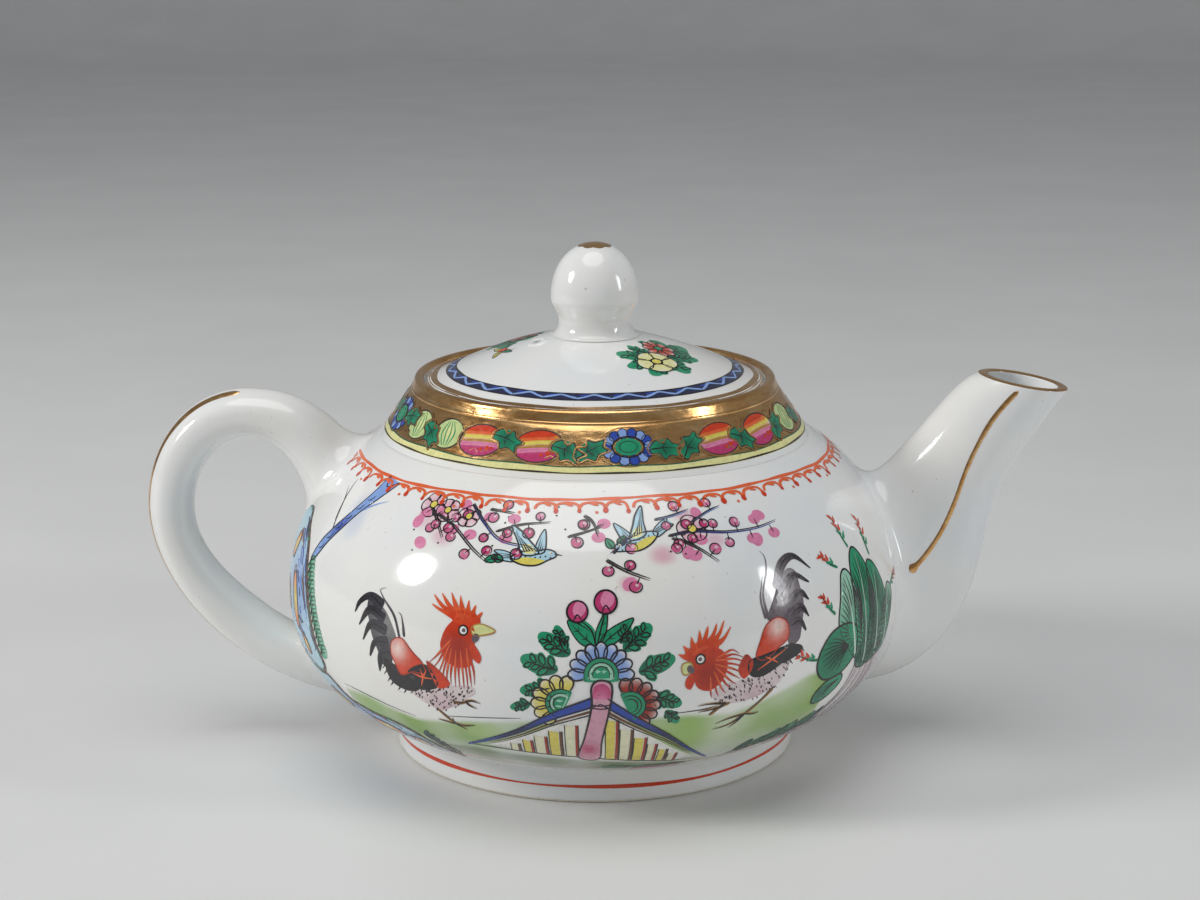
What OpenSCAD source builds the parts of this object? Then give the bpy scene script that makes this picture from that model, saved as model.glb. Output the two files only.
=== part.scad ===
// Small painted porcelain teapot: a squat round pot with a gilded collar, a curved
// spout, a loop handle, and a domed lid with a bud-shaped knob that lifts straight out.
// +X runs to the spout, -X to the handle, +Z is up. The origin is the centre of the
// foot ring's underside, on the pot's axis.

/* [Belly] */
// Greatest diameter of the belly
belly_d = 99.2; // [98:0.1:102]
// Height of the belly's widest line
belly_z = 26; // [25:0.5:27]
// Height of the rounding above the widest line, if it ran on to the axis
shoulder_h = 33.6; // [33:0.1:35]
// Squareness of the shoulder, 2 is an ellipse
shoulder_n = 2.15; // [2:0.05:2.4]
// Squareness of the lower belly, 2 is an ellipse
base_n = 2.25; // [2.1:0.05:2.5]
// Thickness of the fired wall
wall = 2.4; // [2:0.1:3]
// Thickness of the floor
floor_t = 2.8; // [2:0.1:4]

/* [Foot ring] */
// Outer radius of the foot ring
foot_r = 32.7; // [32:0.1:32.9]
// Height of the foot ring
foot_h = 5.4; // [5:0.1:5.8]
// Radial thickness of the foot ring
foot_t = 4.6; // [3:0.1:6]

/* [Collar] */
// Height at which the collar sits on the belly
collar_z = 51.3; // [51:0.1:51.5]
// Radius of the collar's ridge, at the top of its cone
ridge_r = 29.3; // [29:0.1:29.6]
// Height of that ridge
ridge_z = 58.6; // [58.3:0.1:59]
// Radius of the bore that the lid's flange drops into
mouth_r = 24.8; // [24.6:0.1:25]
// Height of the ledge that the lid rests on
ledge_z = 58.2; // [58:0.1:58.2]

/* [Strainer] */
// Radius of each strainer hole behind the spout
strainer_hole_r = 1.6; // [1.2:0.1:2]
// Radius of the circle that the outer strainer holes stand on
strainer_ring_r = 6.2; // [5:0.1:7]
// Number of strainer holes round the middle one
strainer_count = 6; // [4:1:6]

/* [Spout] */
// Thickness of the spout's wall
spout_wall = 1.6; // [1.4:0.1:2]
// Half width of the spout where it joins the belly
spout_root_w = 10.5; // [9:0.1:12]
// Half width of the spout at its lip
spout_lip_w = 6.7; // [6:0.1:7.5]

/* [Handle] */
// Half width of the handle along its loop
handle_w = 4.8; // [4:0.1:5.5]
// Extra half width where the handle joins the belly
handle_flare = 1.7; // [0:0.1:3]

/* [Lid] */
// Radius of the lid's edge
lid_r = 27; // [26.8:0.05:27.1]
// Thickness of the lid's dome
lid_t = 2.6; // [2:0.1:3]
// Outer radius of the flange that locates the lid
flange_r = 24.2; // [24:0.1:24.3]
// Length of that flange below the ledge
flange_l = 5.2; // [4:0.1:6]
// Radius of the vent hole
vent_r = 1; // [0.7:0.1:1.3]
// Distance of the vent hole from the lid's axis
vent_x = 9.8; // [9.5:0.1:11]
// Direction of the vent hole round the lid
vent_angle = 202; // [0:1:359]

/* [Knob] */
// Greatest radius of the knob
knob_r = 7.05; // [6.8:0.05:7.4]
// Radius of the knob's neck
knob_neck_r = 5.75; // [5.4:0.05:6]
// Height of the top of the knob
knob_top_z = 81.6; // [80:0.1:83]

/* [Hidden] */
$fn = 96;

porcelain = [0.95, 0.95, 0.93];
gilt = [0.80, 0.60, 0.28];

// The belly's outline above and below its widest line is a quarter superellipse.
belly_r = belly_d / 2;
function superellipse(u, n) = pow(1 - pow(abs(u), n), 1 / n);
function belly_at(z, inset = 0) = z > belly_z
    ? (belly_r - inset) * superellipse((z - belly_z) / (shoulder_h - inset), shoulder_n)
    : (belly_r - inset) * superellipse((z - belly_z) / (belly_z - inset), base_n);
belly_steps = 40;
floor_z = foot_h + floor_t;

// The collar is a cone from the shoulder to the ridge, with a rounded rim above it.
collar_base_r = belly_at(collar_z);
collar_base_in = belly_at(collar_z, wall);
rim_in_r = 27.4;
rim_top_z = 60.6;

// The lid's dome: a shallow cone that curves, above an upright edge.
dome_edge_r = 25.1;
dome_edge_z = 60.5;
dome_top_r = 7;
dome_slope = 0.15;
dome_curve = 0.00625;
function dome_at(r) = dome_edge_z + dome_slope * (dome_edge_r - r)
    + dome_curve * (dome_edge_r * dome_edge_r - r * r);
dome_steps = 12;
dome_top_z = dome_at(dome_top_r) + 0.2;
flange_t = 2.2;
flange_in_r = flange_r - flange_t;

// The knob: a cove up from the dome, a waist, and a bud over its widest line.
cove_h = 2.2;
waist_z = dome_top_z + cove_h;
bud_z = 73;
bud_n = 2.1;
bud_steps = 14;

// Points along cubic Bezier curves, joined end to end. A chain holds 3 k + 1 points.
function bezier(p, t) = let (u = 1 - t)
    u * u * u * p[0] + 3 * u * u * t * p[1] + 3 * u * t * t * p[2] + t * t * t * p[3];
function along(chain, t) = let (
        spans = (len(chain) - 1) / 3,
        k = min(floor(t * spans), spans - 1)
    )
    bezier([for (i = [0:3]) chain[3 * k + i]], t * spans - k);

// The spout's upper and lower outlines, [x, z], from the belly to the lip.
spout_upper = [[42.6, 44.2], [46.2, 43.2], [48, 46.4], [52.6, 51.6],
    [55.3, 54.7], [58.6, 59.6], [61.6, 60.4]];
spout_lower = [[40.2, 8.8], [53.2, 8.3], [61, 17.5], [63.4, 32.9],
    [65.1, 44.1], [70.4, 50.2], [76.1, 58.3]];
spout_rings = 18;
spout_sides = 28;

// The handle's outer and inner outlines, [x, z], from its upper to its lower root.
handle_outer = [[-35.4, 48.6], [-41.8, 54], [-47.3, 57.9], [-56, 57.9],
    [-65.4, 57.9], [-72.4, 49.4], [-72.4, 38.5],
    [-72.4, 23.3], [-55.3, 5.6], [-36.2, 5.9]];
handle_inner = [[-45.8, 39.2], [-47.4, 45.4], [-51.3, 50.1], [-56, 50.1],
    [-60.6, 50.1], [-65.2, 45], [-65.2, 38],
    [-65.2, 29.4], [-57.1, 23.5], [-47, 16.2]];
handle_rings = 36;
handle_sides = 20;

// How far a root is pressed into the belly's skin, and how far along the sweep its
// shape follows the belly before it settles to flat sections.
luting = 0.4;
blend = 0.35;

// Moves a point level with itself onto the belly's surface, less the luting depth.
function on_belly(p) = let (r = norm([p.x, p.y]), s = (belly_at(p.z) - luting) / r)
    [p.x * s, p.y * s, p.z];

// One point of a sweep's section at angle a, between two outlines and half width w.
function section_point(top, bottom, t, a, w, inset) = let (
        u = along(top, t),
        v = along(bottom, t),
        half = (u - v) / 2,
        mid = (u + v) / 2,
        reach = 1 - inset / norm(half),
        q = mid + half * reach * cos(a)
    )
    [q.x, (w - inset) * sin(a), q.y];

// The same, drawn onto the belly near an end at t = root.
function rooted(top, bottom, t, a, w, w_root, inset, root) = let (
        p = section_point(top, bottom, t, a, w, inset),
        p0 = section_point(top, bottom, root, a, w_root, inset),
        fade = max(0, 1 - abs(t - root) / blend)
    )
    p + (on_belly(p0) - p0) * fade * fade;

// Triangles for a skin of rings, and for the flat ends of a solid or a tube.
function skin(rings, sides, start, turn) = [
    for (i = [0:rings - 1], j = [0:sides - 1]) let (
            a = start + i * sides + j,
            b = start + i * sides + (j + 1) % sides,
            c = a + sides,
            d = b + sides
        )
        each turn ? [[a, b, c], [b, d, c]] : [[a, c, b], [b, c, d]]
];
function end_ring(sides, outer, inner, turn) = [
    for (j = [0:sides - 1]) let (k = (j + 1) % sides)
        each turn ? [[outer + j, inner + j, outer + k], [outer + k, inner + j, inner + k]]
                  : [[outer + j, outer + k, inner + j], [outer + k, inner + k, inner + j]]
];

module bowl() {
    outside = [for (i = [0:belly_steps]) let (z = foot_h + (collar_z - foot_h) * i / belly_steps)
        [belly_at(z), z]];
    inside = [for (i = [belly_steps:-1:0]) let (z = floor_z + (collar_z - floor_z) * i / belly_steps)
        [belly_at(z, wall), z]];
    strainer_z = 26;
    color(porcelain)
    difference() {
        rotate_extrude()
            polygon(concat([[0, foot_h]], outside, inside, [[0, floor_z]]));
        translate([belly_r - 3 * wall, 0, strainer_z]) rotate([0, 90, 0])
            cylinder(r = strainer_hole_r, h = 4 * wall);
        for (i = [0:strainer_count - 1]) let (a = 360 * i / strainer_count)
            translate([belly_r - 3 * wall, strainer_ring_r * sin(a), strainer_z + strainer_ring_r * cos(a)])
                rotate([0, 90, 0]) cylinder(r = strainer_hole_r, h = 4 * wall);
    }
}

module foot_ring() {
    edge = 0.4;
    straight_z = foot_h - 2.2;
    color(porcelain)
    rotate_extrude()
        polygon([
            [foot_r - foot_t, edge], [foot_r - foot_t + edge, 0],
            [foot_r - edge, 0], [foot_r, edge],
            [foot_r, straight_z], [foot_r + 0.3, foot_h - 0.8], [belly_at(foot_h), foot_h],
            [foot_r - foot_t - 0.8, foot_h], [foot_r - foot_t, foot_h - 1.2]
        ]);
}

module collar() {
    color(gilt)
    rotate_extrude()
        polygon([
            [collar_base_r, collar_z], [ridge_r, ridge_z], [ridge_r - 0.3, ridge_z + 1],
            [ridge_r - 0.8, rim_top_z - 0.3], [rim_in_r + 0.7, rim_top_z],
            [rim_in_r + 0.2, rim_top_z - 0.1], [rim_in_r, rim_top_z - 0.4],
            [rim_in_r, ledge_z], [mouth_r, ledge_z],
            [mouth_r, ledge_z - 2.2], [collar_base_in, collar_z]
        ]);
}

module spout() {
    n = spout_rings;
    m = spout_sides;
    color(porcelain)
    polyhedron(
        points = [for (inset = [0, spout_wall], i = [0:n], j = [0:m - 1]) let (
                t = i / n,
                w = spout_lip_w + (spout_root_w - spout_lip_w) * pow(1 - t, 1.5)
            )
            rooted(spout_upper, spout_lower, t, 360 * j / m, w, spout_root_w, inset, 0)],
        faces = concat(
            skin(n, m, 0, false),
            skin(n, m, (n + 1) * m, true),
            end_ring(m, 0, (n + 1) * m, false),
            end_ring(m, n * m, (2 * n + 1) * m, true)
        )
    );
}

module handle() {
    n = handle_rings;
    m = handle_sides;
    root_w = handle_w + handle_flare;
    roots = [for (t = [0, 1]) on_belly(section_point(handle_outer, handle_inner, t, 90, 0, 0))];
    loop = [for (i = [0:n], j = [0:m - 1]) let (
            t = i / n,
            w = handle_w + handle_flare * pow(abs(2 * t - 1), 6),
            near = t < 0.5 ? 0 : 1
        )
        rooted(handle_outer, handle_inner, t, 360 * j / m, w, root_w, 0, near)];
    color(porcelain)
    polyhedron(
        points = concat(loop, roots),
        faces = concat(
            skin(n, m, 0, false),
            [for (j = [0:m - 1]) [j, (j + 1) % m, len(loop)]],
            [for (j = [0:m - 1]) [n * m + (j + 1) % m, n * m + j, len(loop) + 1]]
        )
    );
}

module lid() {
    dome = [for (i = [0:dome_steps]) let (r = dome_edge_r + (dome_top_r - dome_edge_r) * i / dome_steps)
        [r, dome_at(r)]];
    under_top = dome_at(0) - lid_t;
    under = [for (i = [0:dome_steps]) let (r = flange_in_r * i / dome_steps, u = r / flange_in_r)
        [r, under_top - (under_top - ledge_z) * u * u]];
    color(porcelain)
    difference() {
        rotate_extrude()
            polygon(concat(
                under,
                [[lid_r, ledge_z], [lid_r, dome_edge_z - 1], [lid_r - 0.2, dome_edge_z - 0.4],
                    [lid_r - 0.8, dome_edge_z - 0.1]],
                dome,
                [[dome_top_r, dome_top_z], [0, dome_top_z]]
            ));
        rotate([0, 0, vent_angle]) translate([vent_x, 0, ledge_z])
            cylinder(r = vent_r, h = 3 * wall + lid_t);
    }
}

module lid_flange() {
    color(porcelain)
    rotate_extrude()
        polygon([
            [flange_in_r + 0.4, ledge_z - flange_l], [flange_r - 0.4, ledge_z - flange_l],
            [flange_r, ledge_z - flange_l + 0.4], [flange_r, ledge_z],
            [flange_in_r, ledge_z], [flange_in_r, ledge_z - flange_l + 0.4]
        ]);
}

module knob() {
    cove = [for (i = [0:5]) let (a = 90 * i / 5)
        [knob_neck_r + (dome_top_r - knob_neck_r) * (1 - sin(a)), dome_top_z + cove_h * (1 - cos(a))]];
    flare = [for (i = [1:6]) let (u = i / 6)
        [knob_neck_r + (knob_r - knob_neck_r) * (1 - cos(180 * u)) / 2, waist_z + (bud_z - waist_z) * u]];
    bud = [for (i = [1:bud_steps]) let (u = sin(90 * i / bud_steps))
        [i == bud_steps ? 0 : knob_r * superellipse(u, bud_n), bud_z + (knob_top_z - bud_z) * u]];
    color(porcelain)
    rotate_extrude()
        polygon(concat([[0, dome_top_z]], cove, flare, bud));
}

bowl();
foot_ring();
collar();
spout();
handle();
lid();
lid_flange();
knob();
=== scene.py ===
"""A small painted porcelain teapot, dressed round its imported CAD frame.

The clay pieces are rebuilt as fine glazed skins. Enamels and gilding are thin raised marks that
follow the skins, laid with a brush that works in millimetres on the curved surface.
"""
import math
import random

import bpy
import numpy as np
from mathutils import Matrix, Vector
from mathutils.geometry import delaunay_2d_cdt


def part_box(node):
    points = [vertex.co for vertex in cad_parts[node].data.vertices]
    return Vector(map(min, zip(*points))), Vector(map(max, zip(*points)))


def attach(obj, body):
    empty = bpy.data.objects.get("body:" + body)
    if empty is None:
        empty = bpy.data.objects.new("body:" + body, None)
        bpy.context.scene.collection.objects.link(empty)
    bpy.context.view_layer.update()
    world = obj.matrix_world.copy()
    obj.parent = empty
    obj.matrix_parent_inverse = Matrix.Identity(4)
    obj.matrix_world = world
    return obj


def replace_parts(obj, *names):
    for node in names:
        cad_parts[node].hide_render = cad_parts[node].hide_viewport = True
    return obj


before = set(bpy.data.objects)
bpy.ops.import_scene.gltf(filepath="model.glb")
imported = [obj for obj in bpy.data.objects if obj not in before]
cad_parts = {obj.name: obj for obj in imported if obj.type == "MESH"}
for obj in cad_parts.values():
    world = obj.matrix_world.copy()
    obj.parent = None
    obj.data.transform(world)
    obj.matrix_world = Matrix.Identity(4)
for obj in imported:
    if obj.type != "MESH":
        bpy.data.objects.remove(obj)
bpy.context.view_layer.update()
MM = 0.001
SEED = 7
BELLY_SIDES = 480
RING_SIDES = 240

# ---------------------------------------------------------------- sizes, from the frame


def node_box(name):
    low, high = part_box(name)
    return np.array(low) / MM, np.array(high) / MM


BOWL_LOW, BOWL_HIGH = node_box("bowl")
COLLAR_HIGH = node_box("collar")[1]
LID_LOW, LID_HIGH = node_box("lid")
FLANGE_LOW, FLANGE_HIGH = node_box("lid_flange")
KNOB_LOW, KNOB_HIGH = node_box("knob")

BELLY_R = 49.6
BELLY_Z = 26.0
SHOULDER_H = 33.6
SHOULDER_N = 2.15
BASE_N = 2.25
WALL = 2.4
FOOT_H = BOWL_LOW[2]
COLLAR_Z = BOWL_HIGH[2]
FLOOR_Z = FOOT_H + 2.8
FOOT_R = 32.7
FOOT_T = 4.6
RIDGE_R = 29.3
RIDGE_Z = COLLAR_Z + 7.3
RIM_Z = COLLAR_HIGH[2]
RIM_IN_R = 27.4
LEDGE_Z = LID_LOW[2]
MOUTH_R = 24.8
LID_R = LID_HIGH[0]
DOME_EDGE_R = 25.1
DOME_EDGE_Z = LEDGE_Z + 2.3
DOME_TOP_R = 7.0
DOME_TOP_Z = KNOB_LOW[2]
FLANGE_R = FLANGE_HIGH[0]
FLANGE_IN_R = FLANGE_R - 2.2
VENT_R = 1.0
VENT_AT = 9.8
VENT_ANGLE = math.radians(202)
KNOB_R = 7.05
KNOB_NECK_R = 5.75
KNOB_WAIST_Z = DOME_TOP_Z + 2.2
KNOB_BUD_Z = 73.0
KNOB_TOP_Z = KNOB_HIGH[2]
STRAINER_R = 1.6
STRAINER_RING = 6.2

# Outlines of the two luted pieces, [x, z]: chains of cubic curves from root to end.
SPOUT_UPPER = np.array([(42.6, 44.2), (46.2, 43.2), (48, 46.4), (52.6, 51.6),
                        (55.3, 54.7), (58.6, 59.6), (61.6, 60.4)])
SPOUT_LOWER = np.array([(40.2, 8.8), (53.2, 8.3), (61, 17.5), (63.4, 32.9),
                        (65.1, 44.1), (70.4, 50.2), (76.1, 58.3)])
SPOUT_ROOT_W = 10.5
SPOUT_LIP_W = 6.7
SPOUT_WALL = 1.6
HANDLE_OUTER = np.array([(-35.4, 48.6), (-41.8, 54), (-47.3, 57.9), (-56, 57.9), (-65.4, 57.9),
                         (-72.4, 49.4), (-72.4, 38.5), (-72.4, 23.3), (-55.3, 5.6), (-36.2, 5.9)])
HANDLE_INNER = np.array([(-45.8, 39.2), (-47.4, 45.4), (-51.3, 50.1), (-56, 50.1), (-60.6, 50.1),
                         (-65.2, 45), (-65.2, 38), (-65.2, 29.4), (-57.1, 23.5), (-47, 16.2)])
HANDLE_W = 4.8
HANDLE_FLARE = 1.7


def belly_at(z, inset=0.0):
    """Radius of the belly at height z: a quarter superellipse above and below its widest line."""
    z = np.asarray(z, float)
    upper = np.clip(np.abs(z - BELLY_Z) / (SHOULDER_H - inset), 0, 1)
    lower = np.clip(np.abs(z - BELLY_Z) / (BELLY_Z - inset), 0, 1)
    up = (1 - upper ** SHOULDER_N) ** (1 / SHOULDER_N)
    down = (1 - lower ** BASE_N) ** (1 / BASE_N)
    return (BELLY_R - inset) * np.where(z > BELLY_Z, up, down)


def dome_at(r):
    return DOME_EDGE_Z + 0.15 * (DOME_EDGE_R - r) + 0.00625 * (DOME_EDGE_R ** 2 - r ** 2)


# ---------------------------------------------------------------- meshes


def mesh_piece(name, points, faces, body, material, smooth_angle=40, colours=None):
    """Makes a piece from points in millimetres and rides it on its body."""
    mesh = bpy.data.meshes.new(name)
    mesh.from_pydata([tuple(p) for p in np.asarray(points) * MM], [], faces)
    mesh.validate()
    mesh.polygons.foreach_set("use_smooth", [True] * len(mesh.polygons))
    mesh.set_sharp_from_angle(angle=math.radians(smooth_angle))
    if colours is not None:
        layer = mesh.color_attributes.new("paint", "FLOAT_COLOR", "POINT")
        layer.data.foreach_set("color", np.asarray(colours, float).ravel())
    mesh.materials.append(material)
    piece = bpy.data.objects.new(name, mesh)
    bpy.context.scene.collection.objects.link(piece)
    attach(piece, body)
    return piece


def revolve(profile, steps):
    """Points and faces of a profile [r, z] turned round Z. An end on the axis is closed."""
    profile = [tuple(p) for p in profile]
    angles = np.arange(steps) * 2 * math.pi / steps
    points, rows = [], []
    for r, z in profile:
        if r < 1e-6:
            rows.append([len(points)])
            points.append((0, 0, z))
        else:
            rows.append(list(range(len(points), len(points) + steps)))
            points += [(r * math.sin(a), -r * math.cos(a), z) for a in angles]
    faces = []
    for a, b in zip(rows, rows[1:]):
        for i in range(steps):
            j = (i + 1) % steps
            if len(a) == 1:
                faces.append((a[0], b[j], b[i]))
            elif len(b) == 1:
                faces.append((a[i], a[j], b[0]))
            else:
                faces.append((a[i], a[j], b[j], b[i]))
    return points, faces


def arc_points(centre, radius, start, end, steps):
    """Points on an arc, angles in degrees from +r towards +z."""
    angles = np.radians(np.linspace(start, end, steps))
    return [(centre[0] + radius * math.cos(a), centre[1] + radius * math.sin(a)) for a in angles]


def drill(piece, name, radius, start, end):
    """Cuts a round hole through a piece, from start to end in millimetres."""
    axis = Vector(end) - Vector(start)
    steps = 40
    side = axis.orthogonal().normalized()
    other = axis.normalized().cross(side)
    ring = [side * math.cos(2 * math.pi * i / steps) + other * math.sin(2 * math.pi * i / steps)
            for i in range(steps)]
    points = [Vector(start) + radius * q for q in ring] + [Vector(end) + radius * q for q in ring]
    faces = [(i, (i + 1) % steps, steps + (i + 1) % steps, steps + i) for i in range(steps)]
    faces += [tuple(range(steps - 1, -1, -1)), tuple(range(steps, 2 * steps))]
    mesh = bpy.data.meshes.new(name)
    mesh.from_pydata([tuple(p * MM) for p in points], [], faces)
    cutter = bpy.data.objects.new(name, mesh)
    bpy.context.scene.collection.objects.link(cutter)
    cut = piece.modifiers.new("hole", "BOOLEAN")
    cut.operation = "DIFFERENCE"
    cut.solver = "EXACT"
    cut.object = cutter
    bpy.context.view_layer.objects.active = piece
    with bpy.context.temp_override(object=piece, active_object=piece):
        bpy.ops.object.modifier_apply(modifier=cut.name)
    bpy.data.objects.remove(cutter)


# ---------------------------------------------------------------- materials


def srgb(code, alpha=1.0):
    """Linear colour from a six-digit hex code."""
    parts = [int(code[i:i + 2], 16) / 255 for i in (0, 2, 4)]
    linear = [c / 12.92 if c <= 0.04045 else ((c + 0.055) / 1.055) ** 2.4 for c in parts]
    return (*linear, alpha)


class Shader:
    """A short way to write a Principled material's nodes."""

    def __init__(self, name, **values):
        self.material = bpy.data.materials.new(name)
        self.material.use_nodes = True
        self.tree = self.material.node_tree
        self.surface = self.tree.nodes["Principled BSDF"]
        for key, value in values.items():
            self.surface.inputs[key.replace("_", " ")].default_value = value
        self.place = self.node("ShaderNodeTexCoord").outputs["Object"]

    def node(self, kind, **settings):
        made = self.tree.nodes.new(kind)
        for key, value in settings.items():
            setattr(made, key, value)
        return made

    def link(self, out, into):
        self.tree.links.new(out, into)

    def noise(self, scale_mm, detail=3.0, roughness=0.5, distortion=0.0, squash=1.0):
        """Noise whose features are about scale_mm across, and flatter in height by squash."""
        made = self.node("ShaderNodeTexNoise")
        made.inputs["Scale"].default_value = 1 / (scale_mm * MM)
        made.inputs["Detail"].default_value = detail
        made.inputs["Roughness"].default_value = roughness
        made.inputs["Distortion"].default_value = distortion
        where = self.place
        if squash != 1:
            stretch = self.node("ShaderNodeMapping")
            stretch.inputs["Scale"].default_value = (1, 1, squash)
            self.link(where, stretch.inputs["Vector"])
            where = stretch.outputs["Vector"]
        self.link(where, made.inputs["Vector"])
        return made.outputs["Fac"]

    def ramp(self, value, *stops):
        made = self.node("ShaderNodeValToRGB")
        band = made.color_ramp
        while len(band.elements) < len(stops):
            band.elements.new(0.5)
        for element, (position, colour) in zip(band.elements, stops):
            element.position = position
            element.color = colour
        self.link(value, made.inputs["Fac"])
        return made.outputs["Color"]

    def spread(self, value, low, high, out_low, out_high):
        made = self.node("ShaderNodeMapRange")
        for key, number in (("From Min", low), ("From Max", high), ("To Min", out_low), ("To Max", out_high)):
            made.inputs[key].default_value = number
        self.link(value, made.inputs["Value"])
        return made.outputs["Result"]

    def mix(self, factor, a, b, blend="MIX"):
        made = self.node("ShaderNodeMix", data_type="RGBA", blend_type=blend)
        for value, socket in ((factor, made.inputs[0]), (a, made.inputs[6]), (b, made.inputs[7])):
            if isinstance(value, (int, float, tuple)):
                socket.default_value = value
            else:
                self.link(value, socket)
        return made.outputs[2]

    def paint(self):
        made = self.node("ShaderNodeAttribute", attribute_name="paint")
        return made.outputs["Color"]

    def bump(self, height, depth_mm, strength=1.0, under=None):
        made = self.node("ShaderNodeBump")
        made.inputs["Distance"].default_value = depth_mm * MM
        made.inputs["Strength"].default_value = strength
        self.link(height, made.inputs["Height"])
        if under is not None:
            self.link(under, made.inputs["Normal"])
        return made.outputs["Normal"]

    def use(self, **sockets):
        for key, value in sockets.items():
            self.link(value, self.surface.inputs[key.replace("_", " ")])
        return self.material


def glaze_relief(shader):
    """The slow ripple of a dipped glaze, with a faint fine pitting over it."""
    ripple = shader.bump(shader.noise(9, 1.5), 0.05)
    return shader.bump(shader.noise(0.55, 2), 0.0035, under=ripple)


def make_glaze(name, painted):
    """Clear gloss over white porcelain, with the cool and warm drift of a real firing."""
    shader = Shader(name, Roughness=0.09, Coat_Weight=0.35, Coat_Roughness=0.03, IOR=1.5)
    drift = shader.ramp(shader.noise(26, 2), (0.3, srgb("EEF1F3")), (0.55, srgb("F5F5F2")),
                        (0.8, srgb("F3F1EB")))
    specks = shader.ramp(shader.noise(0.7, 1), (0.0, (1, 1, 1, 1)), (0.765, (1, 1, 1, 1)),
                         (0.79, srgb("C9C2B4")), (1.0, srgb("A79F90")))
    colour = shader.mix(0.5, drift, specks, "MULTIPLY")
    if painted:
        colour = shader.mix(1.0, colour, shader.paint(), "MULTIPLY")
    gloss = shader.spread(shader.noise(4, 3), 0.3, 0.7, 0.06, 0.15)
    return shader.use(Base_Color=colour, Roughness=gloss, Normal=glaze_relief(shader))


def make_bisque():
    shader = Shader("bare_fired_edge", Roughness=0.8)
    colour = shader.ramp(shader.noise(0.8, 5), (0.3, srgb("D8D1C2")), (0.6, srgb("E9E4D8")),
                         (0.8, srgb("BFB4A0")))
    return shader.use(Base_Color=colour, Normal=shader.bump(shader.noise(0.25, 4), 0.05))


def make_gilding():
    """Burnished gold over glaze: level brush streaks, thin coppery places and rubbed bright ones."""
    shader = Shader("burnished_gilding", Metallic=1.0, Roughness=0.2)
    streaks = shader.noise(5.5, 4, 0.55, 0.3, squash=4.5)
    colour = shader.ramp(streaks, (0.25, srgb("BE8A54")), (0.42, srgb("DBA86C")), (0.6, srgb("E9BC82")),
                         (0.78, srgb("F6D2A0")))
    worn = shader.ramp(shader.noise(1.1, 4, 0.65), (0.0, (1, 1, 1, 1)), (0.66, (1, 1, 1, 1)),
                       (0.74, srgb("B98A58")), (1.0, srgb("A87848")))
    colour = shader.mix(0.55, colour, worn, "MULTIPLY")
    gloss = shader.spread(shader.noise(1.6, 5, 0.7, squash=3.0), 0.3, 0.7, 0.1, 0.3)
    coarse = shader.bump(shader.noise(3.4, 2, squash=3.0), 0.05)
    fine = shader.bump(shader.noise(0.4, 3, squash=2.5), 0.005, under=coarse)
    return shader.use(Base_Color=colour, Roughness=gloss, Normal=fine)


def make_enamel():
    """Coloured enamel: the mark's own colour, denser where the pigment pooled."""
    shader = Shader("overglaze_enamel", Roughness=0.16, Coat_Weight=0.25, Coat_Roughness=0.05)
    pooled = shader.ramp(shader.noise(0.9, 4, 0.6), (0.25, (0.8, 0.8, 0.8, 1)), (0.5, (0.97, 0.97, 0.97, 1)),
                         (0.75, (1.06, 1.06, 1.06, 1)))
    colour = shader.mix(1.0, shader.paint(), pooled, "MULTIPLY")
    gloss = shader.spread(shader.noise(0.6, 3), 0.3, 0.7, 0.1, 0.3)
    return shader.use(Base_Color=colour, Roughness=gloss, Normal=shader.bump(shader.noise(0.3, 2), 0.006))


GLAZE_PAINTED = make_glaze("glaze_over_washes", True)
GLAZE = make_glaze("clear_glaze", False)
BISQUE = make_bisque()
GILDING = make_gilding()
ENAMEL = make_enamel()

# ---------------------------------------------------------------- the turned pieces


def belly_profile(low, high, rows, inset=0.0):
    """Points up the belly, evenly spaced along its outline."""
    z = np.linspace(low, high, 2000)
    r = belly_at(z, inset)
    run = np.concatenate([[0], np.cumsum(np.hypot(np.diff(z), np.diff(r)))])
    even = np.interp(np.linspace(0, run[-1], rows), run, z)
    return [(float(belly_at(q, inset)), float(q)) for q in even]


def foot_profile():
    inner = FOOT_R - FOOT_T
    outside = arc_points((FOOT_R - 0.5, 0.5), 0.5, -90, 0, 6) + [
        (FOOT_R, 1.6), (FOOT_R, 3.0), (FOOT_R + 0.1, 3.8), (FOOT_R + 0.3, 4.5),
        (float(belly_at(FOOT_H)) - 0.05, FOOT_H)]
    inside = [(inner - 0.8, FOOT_H), (inner - 0.2, FOOT_H - 0.8), (inner, FOOT_H - 1.6), (inner, 1.6)]
    return outside + inside + arc_points((inner + 0.5, 0.5), 0.5, 180, 270, 6)


COLLAR_BASE_R = float(belly_at(COLLAR_Z))
COLLAR_FOOT = (COLLAR_BASE_R - 0.05, COLLAR_Z)
RIDGE = (RIDGE_R, RIDGE_Z)


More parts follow.
